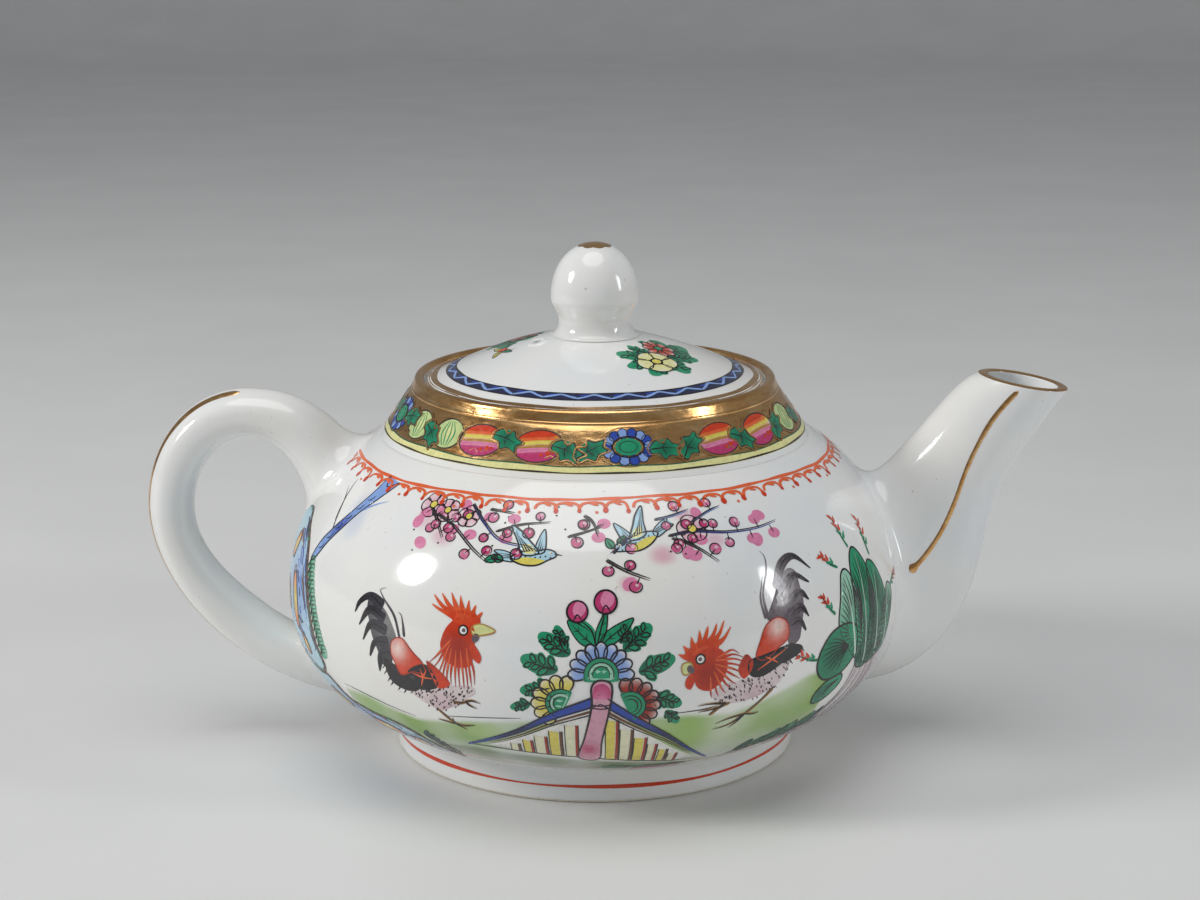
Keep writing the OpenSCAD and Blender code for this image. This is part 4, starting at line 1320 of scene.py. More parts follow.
def rock(brush, rng):
    """Pierced garden rocks in pale blue: ragged edges, brushed folds, orange hollows and moss."""
    tall = [(-22, 12.0), (-18, 15.2), (-14.9, 15.4), (-11.6, 13.4), (-8.2, 11.2), (-6.0, 8.6), (-4.0, 5.4),
            (-2.6, 2.4), (-0.4, -2.6), (1.4, -6.2), (-1.6, -8.4), (-7.6, -6.8), (-13.4, -4.6), (-22, -6.0)]
    low = [(-14, -9.0), (-4.6, -8.0), (1.4, -8.2), (5.2, -11.6), (10.4, -12.8), (15.6, -13.4), (19.2, -15.2),
           (21.6, -19.6), (23.6, -24.6), (12, -25.2), (0, -22.4), (-10, -18.0)]
    for shape in (tall, low):
        middle = np.array(shape).mean(axis=0)
        brush.fill(shape, SKY, 0, glow(SKY, LIGHT_BLUE, *middle, 6))
        brush.line(shape[1:-1], 0.55, BROWN, 3, "both")
        brush.line([(px - 0.5, py - 0.25) for px, py in shape[1:-1]], 0.28, BLACK, 4, "both")
        edge = smooth_curve(shape[1:-1], 1.2)
        for k in range(30):
            start = rng.randrange(0, len(edge) - 8)
            share = rng.uniform(0.2, 0.86)
            fold = [tuple(middle + (q - middle) * (share + rng.uniform(-0.05, 0.05)))
                    for q in edge[start:start + 7:2]]
            colour = rng.choice((BLUE, BLUE, NAVY, NAVY, BROWN))
            brush.line(fold, rng.uniform(0.25, 0.6), colour, 2, "both")
        for q in edge[::2]:
            x, y = q * 0.97 + middle * 0.03
            brush.dot(x, y, rng.uniform(0.22, 0.42), rng.choice((DARK_GREEN, GREEN, BLACK)), 5)
    for x, y, wide, high, turn in ((-10.2, 1.6, 1.5, 4.2, 24), (-15.6, 9.0, 1.3, 2.7, -30),
                                   (-5.0, -4.4, 0.8, 1.7, 40), (-16.5, 0.5, 1.2, 2.6, 12),
                                   (10.8, -17.0, 3.1, 1.5, -14), (0.2, -13.6, 2.7, 1.4, -28),
                                   (17.6, -19.6, 2.0, 1.1, -40)):
        shape = blob(x, y, wide, high, turn, rng)
        outlined(brush, shape, ORANGE, 0.36, BLACK, 3, glow(ORANGE, YELLOW, x, y, 0.6 * max(wide, high)))
        brush.line([(x + (px - x) * 1.3, y + (py - y) * 1.2) for px, py in shape[1:6]], 0.4, BROWN, 2, "both")
    for k in range(12):
        t = k / 11
        x = np.interp(t, [0, 0.4, 1], [-5.2, -2.6, 1.2])
        y = 9.0 - 12.6 * t
        brush.fill([(x, y), (x + 1.4, y + 1.3), (x + 2.3, y + 0.4), (x + 1.9, y - 1.0), (x + 0.4, y - 1.2)],
                   GREEN, 1, glow(GREEN, MINT, x + 2, y, 1))
        for s in (-0.3, 0.3, 0.9):
            brush.line([(x, y - 0.8), (x + 0.8, y + s), (x + 2.2, y + s * 0.8 + 0.3)], 0.2, BLACK, 6, "out")
    for x, y in ((21.6, -15.6), (22.6, -17.6), (23.4, -19.8)):
        for turn in (60, 30, 0, -30):
            leaf(brush, x, y, 2.6, turn, DARK_GREEN, 0.42, 0)


def low_plants(brush, rng):
    """Small dark plants along the foot of the garden, and a row of leaves by the stalks."""
    for k in range(9):
        x, y = 27.0 + 1.7 * k, -19.8 + 0.5 * k
        leaf(brush, x, y, 4.4, 66 + rng.uniform(-12, 12), GREEN if k % 2 else DARK_GREEN, 0.5, 1)
        leaf(brush, x + 0.3, y - 0.2, 3.2, 22 + rng.uniform(-12, 12), LEMON if k % 3 == 1 else GREEN, 0.5, 0)
        brush.line([(x - 1.4, y - 0.5), (x + 1.2, y - 0.1)], 1.1, DARK_GREEN, 0, "both", straight=True)
    for k in range(9):
        x = 2.2 + 1.6 * k
        y = -21.6 - 0.1 * k
        brush.line([(x - 1.0, y), (x + 1.2, y + 0.4), (x + 2.8, y + 0.2)], 1.3, DARK_GREEN if k % 3
                   else GREEN, 1, "both")
        brush.line([(x + 0.4, y - 0.6), (x + 1.0, y + 1.3)], 0.3, BLACK, 2, "out", straight=True)
    brush.line([(7.0, -23.6), (12.0, -23.8), (17.0, -23.2)], 1.5, PINK, 1, "both")
    brush.line([(6.0, -24.6), (12.0, -24.9), (18.0, -24.2)], 0.4, BLACK, 2, "both")


def boughs(brush, rng):
    """Plum branches with buds, blossoms and the two birds, under the border."""
    bough(brush, [(-26.8, 1.8), (-24.6, -0.4), (-22.4, -3.2)], rng, 4)
    bough(brush, [(-24.8, 0.6), (-21.0, -1.2), (-17.2, -4.2), (-14.6, -6.0)], rng, 6)
    bough(brush, [(-19.6, 3.2), (-16.6, 0.2), (-13.4, -2.4), (-8.8, -3.2)], rng, 5, BLUE)
    bough(brush, [(-16.4, 2.6), (-14.4, 2.4), (-12.4, 2.2)], rng, 2)
    bough(brush, [(-14.4, -1.0), (-10.8, 0.4), (-6.6, 1.0)], rng, 4)
    bough(brush, [(-3.8, -1.2), (-1.2, -0.4), (1.4, 0.6)], rng, 3)
    bough(brush, [(-1.6, 2.4), (-0.4, 1.4), (0.6, -0.8)], rng, 2)
    bough(brush, [(1.6, -4.8), (4.2, -6.6), (7.2, -8.0)], rng, 3)
    bough(brush, [(2.6, -3.8), (4.4, -1.8), (6.2, -1.2)], rng, 1, BLUE)
    bough(brush, [(9.0, 1.4), (11.6, 1.8), (14.6, 2.6)], rng, 2, LIGHT_BLUE)
    bough(brush, [(10.6, -1.4), (14.4, -1.0), (19.6, -1.8), (24.4, -1.9), (28.4, -1.4)], rng, 9, BLUE, 1.4)
    bough(brush, [(11.0, -1.8), (14.0, -3.4), (17.0, -6.2)], rng, 4)
    bough(brush, [(14.6, 0.6), (17.8, 2.0), (20.0, 2.6)], rng, 2, LIGHT_BLUE)
    for x, y, r in ((-26.4, 2.0, 2.1), (-23.4, 1.5, 1.9), (-19.4, 1.0, 1.8), (14.4, -0.5, 2.2)):
        blossom(brush, x, y, r, 5, blend_colours(PINK, WHITE, 0.35), YELLOW, rng.uniform(0, 60))
    for x, y in ((-20.6, 2.8), (-21.2, -1.6), (13.0, -4.2), (15.8, 2.0), (24.0, -3.6), (26.0, 0.2),
                 (4.6, -8.4), (-27.6, -1.2), (-25.6, -4.4)):
        brush.dot(x, y, 0.9, PINK, 0, 1.25, rng.uniform(0, 180))
    for _ in range(16):
        brush.dot(rng.uniform(-29, 16), rng.uniform(-6, 4), 0.16, INK, 1)
    for x, y, turn in ((-13.2, -5.0, 200), (-12.4, -5.4, 160), (2.6, -3.0, 120), (3.4, -2.6, 60)):
        leaf(brush, x, y, 1.9, turn, GREEN, 0.6, 0)
    bird(brush, -8.4, -4.6, 2, 0.92)
    bird(brush, 6.2, -2.0, 28, 0.98, True, 0.9)


# ---------------------------------------------------------------- one painted side


def paint_side(name, back, seed):
    """The whole scene on one face of the belly; the back has it mirrored, with its own brushwork."""
    rng = random.Random(seed)

    def at(degrees, height):
        return 180 - degrees if back else degrees, BELLY_ZERO + height

    def motif(part, places):
        paint = Paint(BELLY)
        for degrees, height, draw in places:
            draw(Brush(paint, *at(degrees, height), flip=back))
        paint.make(f"{part}_{name}", "pot", "painted_porcelain")

    motif("cockerels", [(-31.8, -0.9, lambda b: cockerel(b, PROUD, rng)),
                        (29.1, 1.0, lambda b: cockerel(b.at(0, 0, 0, 1, True), PECKING, rng))])
    motif("garden", [(0, 0, horizon), (0, 0, lambda b: bouquet(b, rng)), (0, 0, gable),
                     (0, 0, lambda b: low_plants(b, rng))])
    motif("cabbage", [(50, 0, lambda b: cabbage(b, rng))])
    motif("rocks", [(-60, 0, tree), (-60, 0, lambda b: rock(b, rng))])
    motif("boughs", [(0, 22, lambda b: boughs(b, rng))])


def horizon(brush):
    """The thin line where the garden's ground begins."""
    brush.line([(-45.4, -8.0), (-40.0, -8.3), (-33.0, -9.4), (-29.6, -9.9)], 0.16, INK, 1, "both")
    brush.line([(-23.4, -8.4), (-17.0, -7.6), (-11.0, -7.0)], 0.16, INK, 1, "both")
    brush.line([(11.4, -6.2), (16.0, -6.0), (18.6, -5.6)], 0.2, INK, 1, "both")


def make_washes():
    """Soft grounds of lime, grey-green and rose, faded into the white glaze."""

    def patch(degrees, height, wide, high, tint, strength, lean=0.0):
        def wash(angle, run):
            x = np.radians((angle - degrees + 180) % 360 - 180) * BELLY_R
            y = run - BELLY_ZERO - height - lean * x
            wobble = 1 + 0.14 * np.sin(0.7 * x + height) * np.sin(0.9 * y + degrees)
            near = np.clip(1.3 - np.hypot(x / wide, y / high) * wobble, 0, 1)
            return strength * near * near * (3 - 2 * near), tint
        return wash

    def ground(edge, depth, tint, strength, mirrored):
        """A wash under a line of [degrees, height], fading downwards over depth."""
        def wash(angle, run):
            turned = (180 - angle + 180) % 360 - 180 if mirrored else angle
            top = np.interp(turned, [p[0] for p in edge], [p[1] for p in edge])
            below = top - (run - BELLY_ZERO)
            inside = (turned > edge[0][0]) & (turned < edge[-1][0])
            soft = np.clip(below / 0.9, 0, 1) * np.clip((depth - below) / (0.6 * depth), 0, 1)
            patchy = 0.72 + 0.28 * np.sin(0.16 * turned + 1.3) * np.sin(0.31 * turned)
            return np.where(inside, strength * soft * patchy, 0), tint
        return wash

    left_edge = [(-53, -8.6), (-46, -8.2), (-34, -10.2), (-26, -9.0), (-13, -7.2), (-6, -6.8)]
    right_edge = [(6, -6.6), (14, -6.2), (24, -7.0), (32, -5.4), (40, -3.2), (46, -3.0)]
    base_edge = [(-42, -17.5), (-24, -15.4), (0, -17.2), (20, -20.4), (30, -20.6), (56, -19.6)]
    washes = []
    for mirrored in (False, True):
        washes.append(ground(left_edge, 11, srgb("8DB648"), 1.0, mirrored))
        washes.append(ground(right_edge, 17, srgb("93BC52"), 1.0, mirrored))
        washes.append(ground(base_edge, 10, srgb("66814A"), 1.0, mirrored))
        for degrees, height, wide, high, tint, strength in ((8, -9.5, 4, 2.6, srgb("BDD98A"), 0.5),
                                                            (-12, -18.5, 7, 2.2, srgb("6F8158"), 0.6),
                                                            (16, -10, 5, 3, srgb("A8CC74"), 0.6),
                                                            (-46, -11, 5, 2.8, srgb("90BC4C"), 0.8),
                                                            (-20, -10.5, 5, 2.2, srgb("BDD98A"), 0.6),
                                                            (13, 17.6, 2.4, 1.6, PINK, 0.6),
                                                            (6, 13.8, 1.6, 1.2, PINK, 0.55),
                                                            (-31, 19.2, 2.4, 1.6, PINK, 0.5),
                                                            (-36, 21.4, 3, 2, PINK, 0.4),
                                                            (24, 19.4, 2, 1.3, PINK, 0.5),
                                                            (19, 23.8, 2, 1.2, PINK, 0.55),
                                                            (-56, 19, 3.4, 4.5, LIGHT_BLUE, 0.3),
                                                            (64, -8, 5, 7, srgb("CFC4DC"), 0.6),
                                                            (38, -11, 7, 5, srgb("8CB850"), 0.7)):
            washes.append(patch(180 - degrees if mirrored else degrees, height, wide, high, tint, strength))
    return washes


# ---------------------------------------------------------------- the borders


def band(paint, low, high, colour, layer, steps=360, start=0.0, sweep=360.0):
    """A ribbon between two runs, either numbers or functions of the angle in degrees."""
    degrees = start + sweep * np.arange(steps + 1) / steps
    edges = [np.full(steps + 1, e) if isinstance(e, (int, float)) else np.array([e(d) for d in degrees])
             for e in (low, high)]
    rows = 5
    angle, run = [], []
    for k in range(rows + 1):
        angle.append(np.radians(degrees))
        run.append(edges[0] + (edges[1] - edges[0]) * k / rows)
    faces = []
    for k in range(rows):
        for i in range(steps):
            a = k * (steps + 1) + i
            faces.append((a, a + 1, a + steps + 2, a + steps + 1))
    count = (rows + 1) * (steps + 1)
    paint.add(np.concatenate(angle), np.concatenate(run), np.full(count, paint.height(layer)), faces,
              [colour] * count)


def make_red_border():
    """Iron-red line under the collar with a hand-drawn row of scallops."""
    paint = Paint(BELLY)
    rng = random.Random(SEED + 1)

    def centre(degrees):
        return BELLY_ZERO + 27.2 + 0.5 * math.sin(math.radians(degrees * 2
                                                               + 30)) + 0.1 * math.sin(math.radians(degrees
                                                                                                    * 9))

    band(paint, lambda d: centre(d) - 0.26 - 0.07 * math.sin(math.radians(d * 23)),
         lambda d: centre(d) + 0.24 + 0.06 * math.sin(math.radians(d * 31)), ORANGE, 1, 720)
    count = 66
    for k in range(count):
        degrees = 360 * (k + rng.uniform(-0.12, 0.12)) / count
        b = Brush(paint, degrees, centre(degrees) - 0.75)
        half, deep = 1.75 * rng.uniform(0.9, 1.12), 1.3 * rng.uniform(0.85, 1.2)
        b.line([(-half, -deep * 0.9), (-half * 0.75, -deep * 0.15), (0, 0.15), (half * 0.75, -deep * 0.1),
                (half, -deep)], 0.46, ORANGE, 2, "none")
        b.line([(-half * 0.2, -0.05), (half * 0.45, -0.35 * deep)], 0.42, ORANGE, 3, "both", straight=True)
        b.dot(half * 0.96, -deep - 0.1, rng.uniform(0.3, 0.46), RED, 3, 1.3, 90)
        if k % 3 == 0:
            b.dot(half * 0.3, -deep - 0.5, 0.24, ORANGE, 3)
    paint.make("red_border", "pot", "painted_porcelain")


COLLAR_CONE = Skin(collar_profile()[:12])


def collar_run(z):
    return float(np.interp(z, COLLAR_CONE.z, COLLAR_CONE.run))


def peach(brush, gold, x, y, rng):
    """A fruit in three stripes, outlined in gold."""
    tilt = rng.uniform(-8, 8)
    b, g = brush.at(x, y, tilt), gold.at(x, y, tilt)
    a = np.radians(np.arange(0, 360, 24))
    rim = [(3.85 * math.cos(q), 2.5 * math.sin(q) * (1.06 if math.sin(q) < 0 else 1)) for q in a]
    stripes = ((1.2, RED), (0.35, YELLOW), (-0.3, WHITE), (-1.2, PINK), (-3, ROSE))

    def shade(px, py):
        for edge, colour in stripes:
            if py > edge:
                return colour
        return PINK

    b.fill(rim, PINK, 1, shade)
    for y0, colour in ((1.0, ORANGE), (0.35, YELLOW), (-0.2, OCHRE), (-0.9, PINK)):
        half = 3.4 * math.sqrt(max(0.1, 1 - (y0 / 2.4) ** 2))
        b.line([(-half, y0 - 0.1), (0, y0 + 0.12), (half, y0 - 0.1)], 0.42, colour, 2, "both")
    for x0, y0, r in ((0.5, -1.5, 0.3), (1.5, -1.3, 0.4), (2.2, -1.2, 0.24)):
        b.dot(x0, y0, r, RED, 3)
    b.line(rim, 0.2, INK, 3, "none", closed=True)
    g.line([(px * 1.06, py * 1.09) for px, py in rim], 0.34, BLACK, 3, "none", closed=True)


def melon(brush, gold, x, y, rng):
    """A ribbed pale-green gourd."""
    b, g = brush.at(x, y, rng.uniform(-14, 14)), gold.at(x, y)
    a = np.radians(np.arange(0, 360, 24))
    rim = [(3.0 * math.cos(q), 2.45 * math.sin(q)) for q in a]
    outlined(b, rim, LEMON, 0.22, INK, 1, glow(LIME, LEMON, 0.3, 0.2, 1.3))
    for bend in (-1.1, -0.4, 0.4, 1.1):
        b.line([(bend * 0.5, 2.0), (bend * 1.2, 0), (bend * 0.5, -2.0)], 0.22, GREEN, 3, "both")
    g.line([(px * 1.1, py * 1.1) for px, py in rim], 0.28, BLACK, 3, "none", closed=True)


def collar_leaf(brush, gold, x, y, turn):
    """A lobed green leaf on the gold ground."""
    b, g = brush.at(x, y, turn, 1.3), gold.at(x, y, turn, 1.3)
    rim = [(-1.7, 0.1), (-1.0, 0.9), (-0.2, 0.6), (0.3, 1.25), (1.0, 0.7), (2.0, 0.5), (1.5, -0.2),
           (1.8, -0.9), (0.7, -0.8), (0.0, -1.3), (-0.6, -0.7), (-1.5, -0.7)]
    b.fill(rim, GREEN, 4, glow(GREEN, DARK_GREEN, 0, 0, 1.1))
    b.line([(-1.6, -0.2), (0, 0.1), (1.7, 0.1)], 0.2, BLACK, 5, "out")
    b.line([(-0.4, 0), (0.3, 0.9)], 0.16, BLACK, 5, "out", straight=True)
    b.line([(-0.2, 0), (0.3, -0.9)], 0.16, BLACK, 5, "out", straight=True)
    b.line(rim, 0.16, INK, 5, "none", closed=True)
    g.line([(px * 1.16, py * 1.16) for px, py in rim], 0.24, BLACK, 6, "none", closed=True)


def aster(brush, gold, x, y, rng):
    """A blue many-petalled flower with a green heart."""
    b, g = brush.at(x, y, 0, 1.5), gold.at(x, y, 0, 1.5)
    for k in range(14):
        q = 2 * math.pi * k / 14
        b.dot(2.15 * math.cos(q), 1.45 * math.sin(q), 0.7, BLUE if k % 2 else LIGHT_BLUE, 2, 1.2,
              math.degrees(q))
        b.loop(2.15 * math.cos(q), 1.45 * math.sin(q), 0.52, 0.14, NAVY, 3)
    b.dot(0, 0, 1.4, GREEN, 4, 1.45)
    b.loop(0, 0, 1.1, 0.22, BLACK, 5, 1.45)
    b.loop(0, 0, 0.6, 0.16, DARK_GREEN, 5, 1.5)
    g.line([(3.2 * math.cos(q), 2.1 * math.sin(q)) for q in np.radians(np.arange(0, 360, 20))], 0.22, BLACK,
           1, "none", closed=True)


COLLAR_ROW = [(-84, "leaf"), (-75, "aster"), (-66, "leaf"), (-59, "melon"), (-52, "leaf"), (-45, "melon"),
              (-33, "peach"), (-25, "leaf"), (-15.4, "peach"), (-7.6, "leaf"), (-1.2, "leaf"),
              (9.2, "aster"), (19.2, "leaf"), (26.6, "leaf"), (36.8, "peach"), (44.6, "leaf"),
              (53.2, "peach"), (62, "leaf"), (70.5, "melon"), (79, "leaf")]


def make_collar_border():
    """Fruit and flowers on the gilding, over a lime band ruled in black."""
    paint, gold = Paint(COLLAR_CONE), Paint(COLLAR_CONE)
    rng = random.Random(SEED + 2)
    middle = collar_run(55.75)
    band(paint, collar_run(52.15), lambda d: collar_run(53.1) + 0.1 * math.sin(math.radians(13 * d)), LEMON,
         1)
    band(paint, collar_run(52.2), lambda d: collar_run(52.2) + 0.24 + 0.07 * math.sin(math.radians(17 * d)),
         INK, 2)
    band(paint, lambda d: collar_run(53.1) + 0.1 * math.sin(math.radians(13 * d)),
         lambda d: collar_run(53.1) + 0.2 + 0.12 * math.sin(math.radians(13 * d)), DARK_GREEN, 2)
    for back in (False, True):
        for degrees, kind in COLLAR_ROW:
            place = 180 - degrees if back else degrees
            b = Brush(paint, place, middle)
            g = Brush(gold, place, middle)
            if kind == "leaf":
                lift = rng.choice((-0.7, 0.5))
                collar_leaf(b, g, 0, lift, rng.uniform(-50, 50))
            else:
                draw = {"peach": peach, "melon": melon, "aster": aster}[kind]
                draw(b, g, 0, -0.1, rng)
            for _ in range(2):
                x, y = rng.uniform(-3.0, 3.0), rng.choice((-2.0, 2.0))
                g.line([(x - 0.9, y), (x, y + 0.4), (x + 0.7, y - 0.1)], 0.24, BLACK, 1, "both")
    clear = Paint(COLLAR_CONE)
    band(clear, 0.02, collar_run(52.2), WHITE, 0)
    clear.make("collar_foot_glaze", "pot", "white_porcelain", GLAZE)
    paint.make("collar_fruit", "pot", "painted_porcelain")
    gold.make("collar_fruit_gold_lines", "pot", "gilding", GILDING)


LID_TOP = Skin([(LID_R - 0.01, DOME_EDGE_Z - 1.1)] + arc_points((LID_R - 0.9, DOME_EDGE_Z - 1.15), 0.9, 8,
                                                                78, 10) + [(r, dome_at(r))
                                                                           for r in np.linspace(DOME_EDGE_R,
                                                                                                DOME_TOP_R,
                                                                                                60)])


def lid_run(r):
    return float(np.interp(-r, -LID_TOP.r, LID_TOP.run))


def lid_spray(b, rng, full):
    """A nosegay on the lid: two flowers in a ring of dark leaves, or a single sprig."""
    if full:
        for turn, length in ((200, 3.6), (160, 4.0), (122, 3.0), (62, 3.4), (30, 4.6), (0, 5.0), (-36, 3.6),
                             (-84, 3.4), (-125, 3.6)):
            spray(b, 1.2 * math.cos(math.radians(turn)), 0.8 * math.sin(math.radians(turn)), turn, 4, length,
                  rng)
        blossom(b, 2.0, 1.5, 2.1, 8, RED, GREEN, 10, 4)
        blossom(b, -1.3, -1.1, 2.3, 5, LEMON, YELLOW, 40, 5)
    else:
        for turn in (20, 150, 200, 320):
            leaf(b, 0, 0, 2.4, turn, YELLOW if turn > 180 else GREEN, 0.34, 1)
        b.dot(0, 0.2, 0.8, RED, 3)
        b.dot(0.1, 0.3, 0.35, ORANGE, 4)
        b.line([(0.4, 0.4), (2.0, 1.6)], 0.24, DEEP_RED, 3, "out", straight=True)


def make_lid_painting():
    """Blue band with a pale zigzag, and flower sprays round the knob."""
    paint = Paint(LID_TOP)
    rng = random.Random(SEED + 3)
    outer, inner = lid_run(23.8), lid_run(22.1)
    band(paint, lambda d: outer + 0.1 * math.sin(math.radians(7 * d)),
         lambda d: inner + 0.14 * math.sin(math.radians(9 * d + 40)), NAVY, 1)
    band(paint, outer - 0.05, outer + 0.22, BLACK, 2)
    band(paint, inner - 0.2, inner + 0.02, BLACK, 2)
    waves = 28
    for k in range(waves):
        b = Brush(paint, 360 * k / waves, (outer + inner) / 2)
        half = math.pi * 23 / waves
        high = rng.uniform(0.42, 0.6)
        b.line([(-half, -high), (-half * 0.5, 0), (0, high), (half * 0.5, 0), (half, -high)], 0.42,
               LIGHT_BLUE, 3, "none")
        b.line([(-half * 0.9, high * 0.6), (-half * 0.3, high * 0.9)], 0.3, BLUE, 2, "both", straight=True)
    for degrees, r, full in ((47, 13.6, True), (-81, 15.0, False), (-122, 14.0, True), (150, 14.5, False)):
        lid_spray(Brush(paint, degrees, lid_run(r), size=1.3), rng, full)
    paint.make("lid_flowers_and_band", "lid", "painted_porcelain")
    gold = Paint(LID_TOP, 0.012)
    band(gold, 0.03, lambda d: lid_run(25.3) + 0.12 * math.sin(math.radians(11 * d)), BLACK, 0)
    gold.make("lid_gilded_edge", "lid", "gilding", GILDING)


def make_vent_lip():
    """The raised clay lip round the steam hole."""
    angle = VENT_ANGLE
    top = Vector((VENT_AT * math.cos(angle), VENT_AT * math.sin(angle), float(dome_at(VENT_AT))))
    profile = [(VENT_R + 0.95, -0.12), (VENT_R + 0.7, 0.02), (VENT_R + 0.42, 0.2), (VENT_R + 0.15, 0.26),
               (VENT_R, 0.1), (VENT_R, -1.2)]
    points, faces = revolve(profile[::-1], 48)
    slope = Vector((math.cos(angle) * 0.27, math.sin(angle) * 0.27, 1)).normalized()
    turn = slope.to_track_quat("Z", "Y")
    placed = [tuple(turn @ Vector(p) + top) for p in points]
    mesh_piece("vent_lip", placed, [f[::-1] for f in faces], "lid", GLAZE, 60)


KNOB_SKIN = Skin(knob_profile()[1:])


def make_knob_cap():
    """A scalloped touch of gold on top of the knob."""
    gold = Paint(KNOB_SKIN)
    end = KNOB_SKIN.run[-1] - 0.02
    band(gold, lambda d: end - 2.5 - 0.35 * abs(math.sin(math.radians(4 * d + 20))), end, BLACK, 1, 96)
    gold.make("knob_gold_cap", "lid", "gilding", GILDING)


FOOT_SIDE = Skin(foot_profile()[5:11])


def make_foot_line():
    paint = Paint(FOOT_SIDE)
    base = float(np.interp(2.6, FOOT_SIDE.z, FOOT_SIDE.run))
    band(paint, lambda d: base - 0.16 - 0.1 * math.sin(math.radians(5 * d)),
         lambda d: base + 0.32 + 0.12 * math.sin(math.radians(7 * d + 50)), RED, 1)
    paint.make("foot_red_line", "pot", "painted_porcelain")


def tube_ribbon(name, tube, path, width, blob=0.0):
    """A raised gold line laid along a swept piece, through places [t, degrees round]."""
    curve = smooth_curve([(t * 100, a) for t, a in path], 0.4)
    t, a = curve[:, 0] / 100, np.radians(curve[:, 1])
    centre = tube.at(t, a)
    along_t = (tube.at(np.clip(t + 1e-3, 0, 1), a) - tube.at(np.clip(t - 1e-3, 0, 1), a)) / 2e-3
    round_a = (tube.at(t, a + 1e-3) - tube.at(t, a - 1e-3)) / 2e-3
    forward = np.gradient(centre, axis=0)
    forward /= np.linalg.norm(forward, axis=1)[:, None]
    normal = np.cross(round_a, along_t)
    normal /= np.linalg.norm(normal, axis=1)[:, None]
    side = np.cross(normal, forward)
    share = np.linspace(0, 1, len(t))
    half = width / 2 * (1 + 0.08 * np.sin(9 * share) + 0.04 * np.sin(31 * share))
    half *= np.clip(share / 0.03 + 0.4, 0, 1) * np.clip((1 - share) / 0.03 + 0.4, 0, 1)
    half += blob * np.exp(-((share - 0.97) / 0.035) ** 2)
    rows = []
    for k, lift in ((-1, 0.0), (-0.6, 0.06), (0, 0.09), (0.6, 0.06), (1, 0.0)):
        offset = side * (half * k)[:, None]
        steps = [np.linalg.lstsq(np.stack([p, q], 1), o, rcond=None)[0]
                 for p, q, o in zip(along_t, round_a, offset)]
        dt, da = np.array(steps).T
        rows.append(tube.at(np.clip(t + dt, 0, 1), a + da, -lift - 0.015))
    points = np.stack(rows, 1).reshape(-1, 3)
    faces = []
    for i in range(len(t) - 1):
        for j in range(4):
            q = 5 * i + j
            faces.append((q, q + 1, q + 6, q + 5))
    flat = np.cross(points[1] - points[0], points[5] - points[0])
    if np.dot(flat, normal[0]) < 0:
        faces = [f[::-1] for f in faces]
    mesh_piece(name, points, faces, "pot", GILDING, 60)


def make_spout_gold():
    """The gilded lip, and a line down each side of the spout that ends in a drop."""
    sides = 96
    angles = np.arange(sides) * 2 * math.pi / sides
    rings = spout_lip(angles, 0.04)[1:8]
    mesh_piece("spout_gilded_lip", np.concatenate(rings), ring_faces(len(rings), sides), "pot",
               GILDING, 60)
    for name, side in (("front", -1), ("back", 1)):
        path = [(t, side * a) for t, a in SPOUT_LINE]
        tube_ribbon(f"spout_gold_line_{name}", SPOUT, path, 0.75, 0.42)


SPOUT_LINE = [(0.97, 80), (0.9, 80), (0.8, 81), (0.69, 84), (0.55, 87), (0.42, 88), (0.3, 87), (0.18, 83)]
HANDLE_LINE = [(0.345, -20), (0.4, -22), (0.5, -24), (0.6, -22), (0.7, -18), (0.86, -12)]


def make_handle_gold():
    tube_ribbon("handle_gold_line", HANDLE, HANDLE_LINE, 1.3)


def strainer_places():
    """Seven holes through the wall behind the spout: one, and six round it."""
    ring = [(0.0, 0.0)] + [(STRAINER_RING * math.sin(a), STRAINER_RING * math.cos(a))
                           for a in np.arange(6) * math.pi / 3]
    return [(y, BELLY_Z + z) for y, z in ring]


def drill_holes(bowl, lid):
    """The strainer behind the spout, and the steam vent in the lid."""
    for k, (y, z) in enumerate(strainer_places()):
        drill(bowl, f"strainer_cut_{k}", STRAINER_R, (40, y, z), (54, y, z))
    vent_x, vent_y = VENT_AT * math.cos(VENT_ANGLE), VENT_AT * math.sin(VENT_ANGLE)
    drill(lid, "vent_cut", VENT_R, (vent_x, vent_y, 50), (vent_x, vent_y, 75))


def decorate(bowl):
    """All the enamel and gilding, with the same panel on both sides, mirrored at the back."""
    wash_bowl(bowl, make_washes())
    paint_side("front", False, SEED)
    paint_side("back", True, SEED + 10)
    make_red_border()
    make_collar_border()
    make_lid_painting()
    make_vent_lip()
    make_knob_cap()
    make_foot_line()
    make_spout_gold()
    make_handle_gold()


# ---------------------------------------------------------------- studio


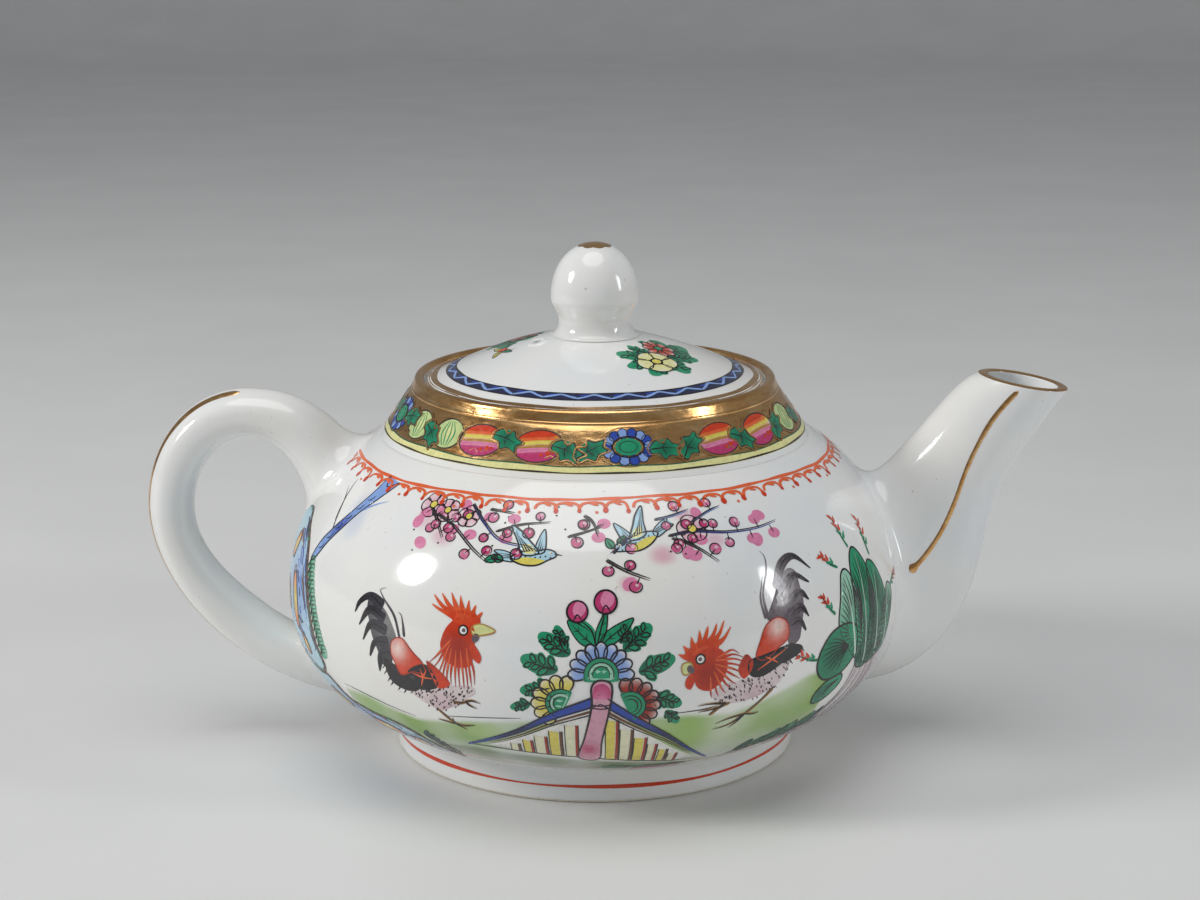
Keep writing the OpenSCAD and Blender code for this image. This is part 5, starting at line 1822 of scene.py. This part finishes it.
def make_studio():
    """A pale round floor that curves up into a backdrop, three soft lights, and the camera."""
    radius, bend, rise = 1.5, 0.4, 1.2
    middle = (0, 0, 0.035)
    world_colour, world_strength = (0.62, 0.64, 0.67, 1), 0.34
    camera_place, camera_tilt = (0.00083, -0.3670, 0.1365), 13.6
    outline = [(0.4, 0), (radius, 0)]
    outline += [(radius + bend * math.sin(a), bend - bend * math.cos(a))
                for a in np.linspace(0.1, math.pi / 2, 12)]
    points, faces = revolve([(0, 0)] + outline + [(radius + bend, rise)], 96)
    mesh = bpy.data.meshes.new("floor")
    mesh.from_pydata(points, [], [face[::-1] for face in faces])
    mesh.polygons.foreach_set("use_smooth", [True] * len(mesh.polygons))
    floor = bpy.data.objects.new("floor", mesh)
    shader = Shader("studio_floor", Roughness=0.5)
    mesh.materials.append(shader.use(Base_Color=shader.ramp(
        shader.noise(60, 2), (0.3, srgb("E6E6E5")), (0.7, srgb("EBEBEA")))))
    bpy.context.scene.collection.objects.link(floor)

    def area(name, place, size, power, tint):
        """A soft oval light, in metres and watts, aimed at the pot."""
        light = bpy.data.lights.new(name, "AREA")
        light.shape = "ELLIPSE"
        light.size, light.size_y = size
        light.energy = power
        light.color = tint
        lamp = bpy.data.objects.new(name, light)
        lamp.location = place
        lamp.rotation_euler = (Vector(middle) - Vector(place)).to_track_quat("-Z", "Y").to_euler()
        bpy.context.scene.collection.objects.link(lamp)

    area("softbox_left", (-0.74, -0.2, 0.42), (0.2, 0.26), 3.0, (1, 0.99, 0.97))
    area("softbox_right", (0.74, -0.26, 0.3), (0.12, 0.34), 1.2, (0.96, 0.98, 1))
    area("softbox_top", (-0.05, -0.12, 0.85), (0.7, 0.7), 2.5, (1, 1, 1))

    world = bpy.data.worlds.new("studio")
    world.use_nodes = True
    world.node_tree.nodes["Background"].inputs["Color"].default_value = world_colour
    world.node_tree.nodes["Background"].inputs["Strength"].default_value = world_strength
    bpy.context.scene.world = world
    bpy.context.scene.view_settings.view_transform = "Standard"

    lens = bpy.data.cameras.new("camera")
    lens.lens = 70
    lens.sensor_width = 36
    camera = bpy.data.objects.new("camera", lens)
    camera.location = camera_place
    camera.rotation_euler = (math.radians(90 - camera_tilt), 0, 0)
    bpy.context.scene.collection.objects.link(camera)
    bpy.context.scene.camera = camera


clay_bowl, clay_lid = make_clay()
drill_holes(clay_bowl, clay_lid)
decorate(clay_bowl)
make_studio()
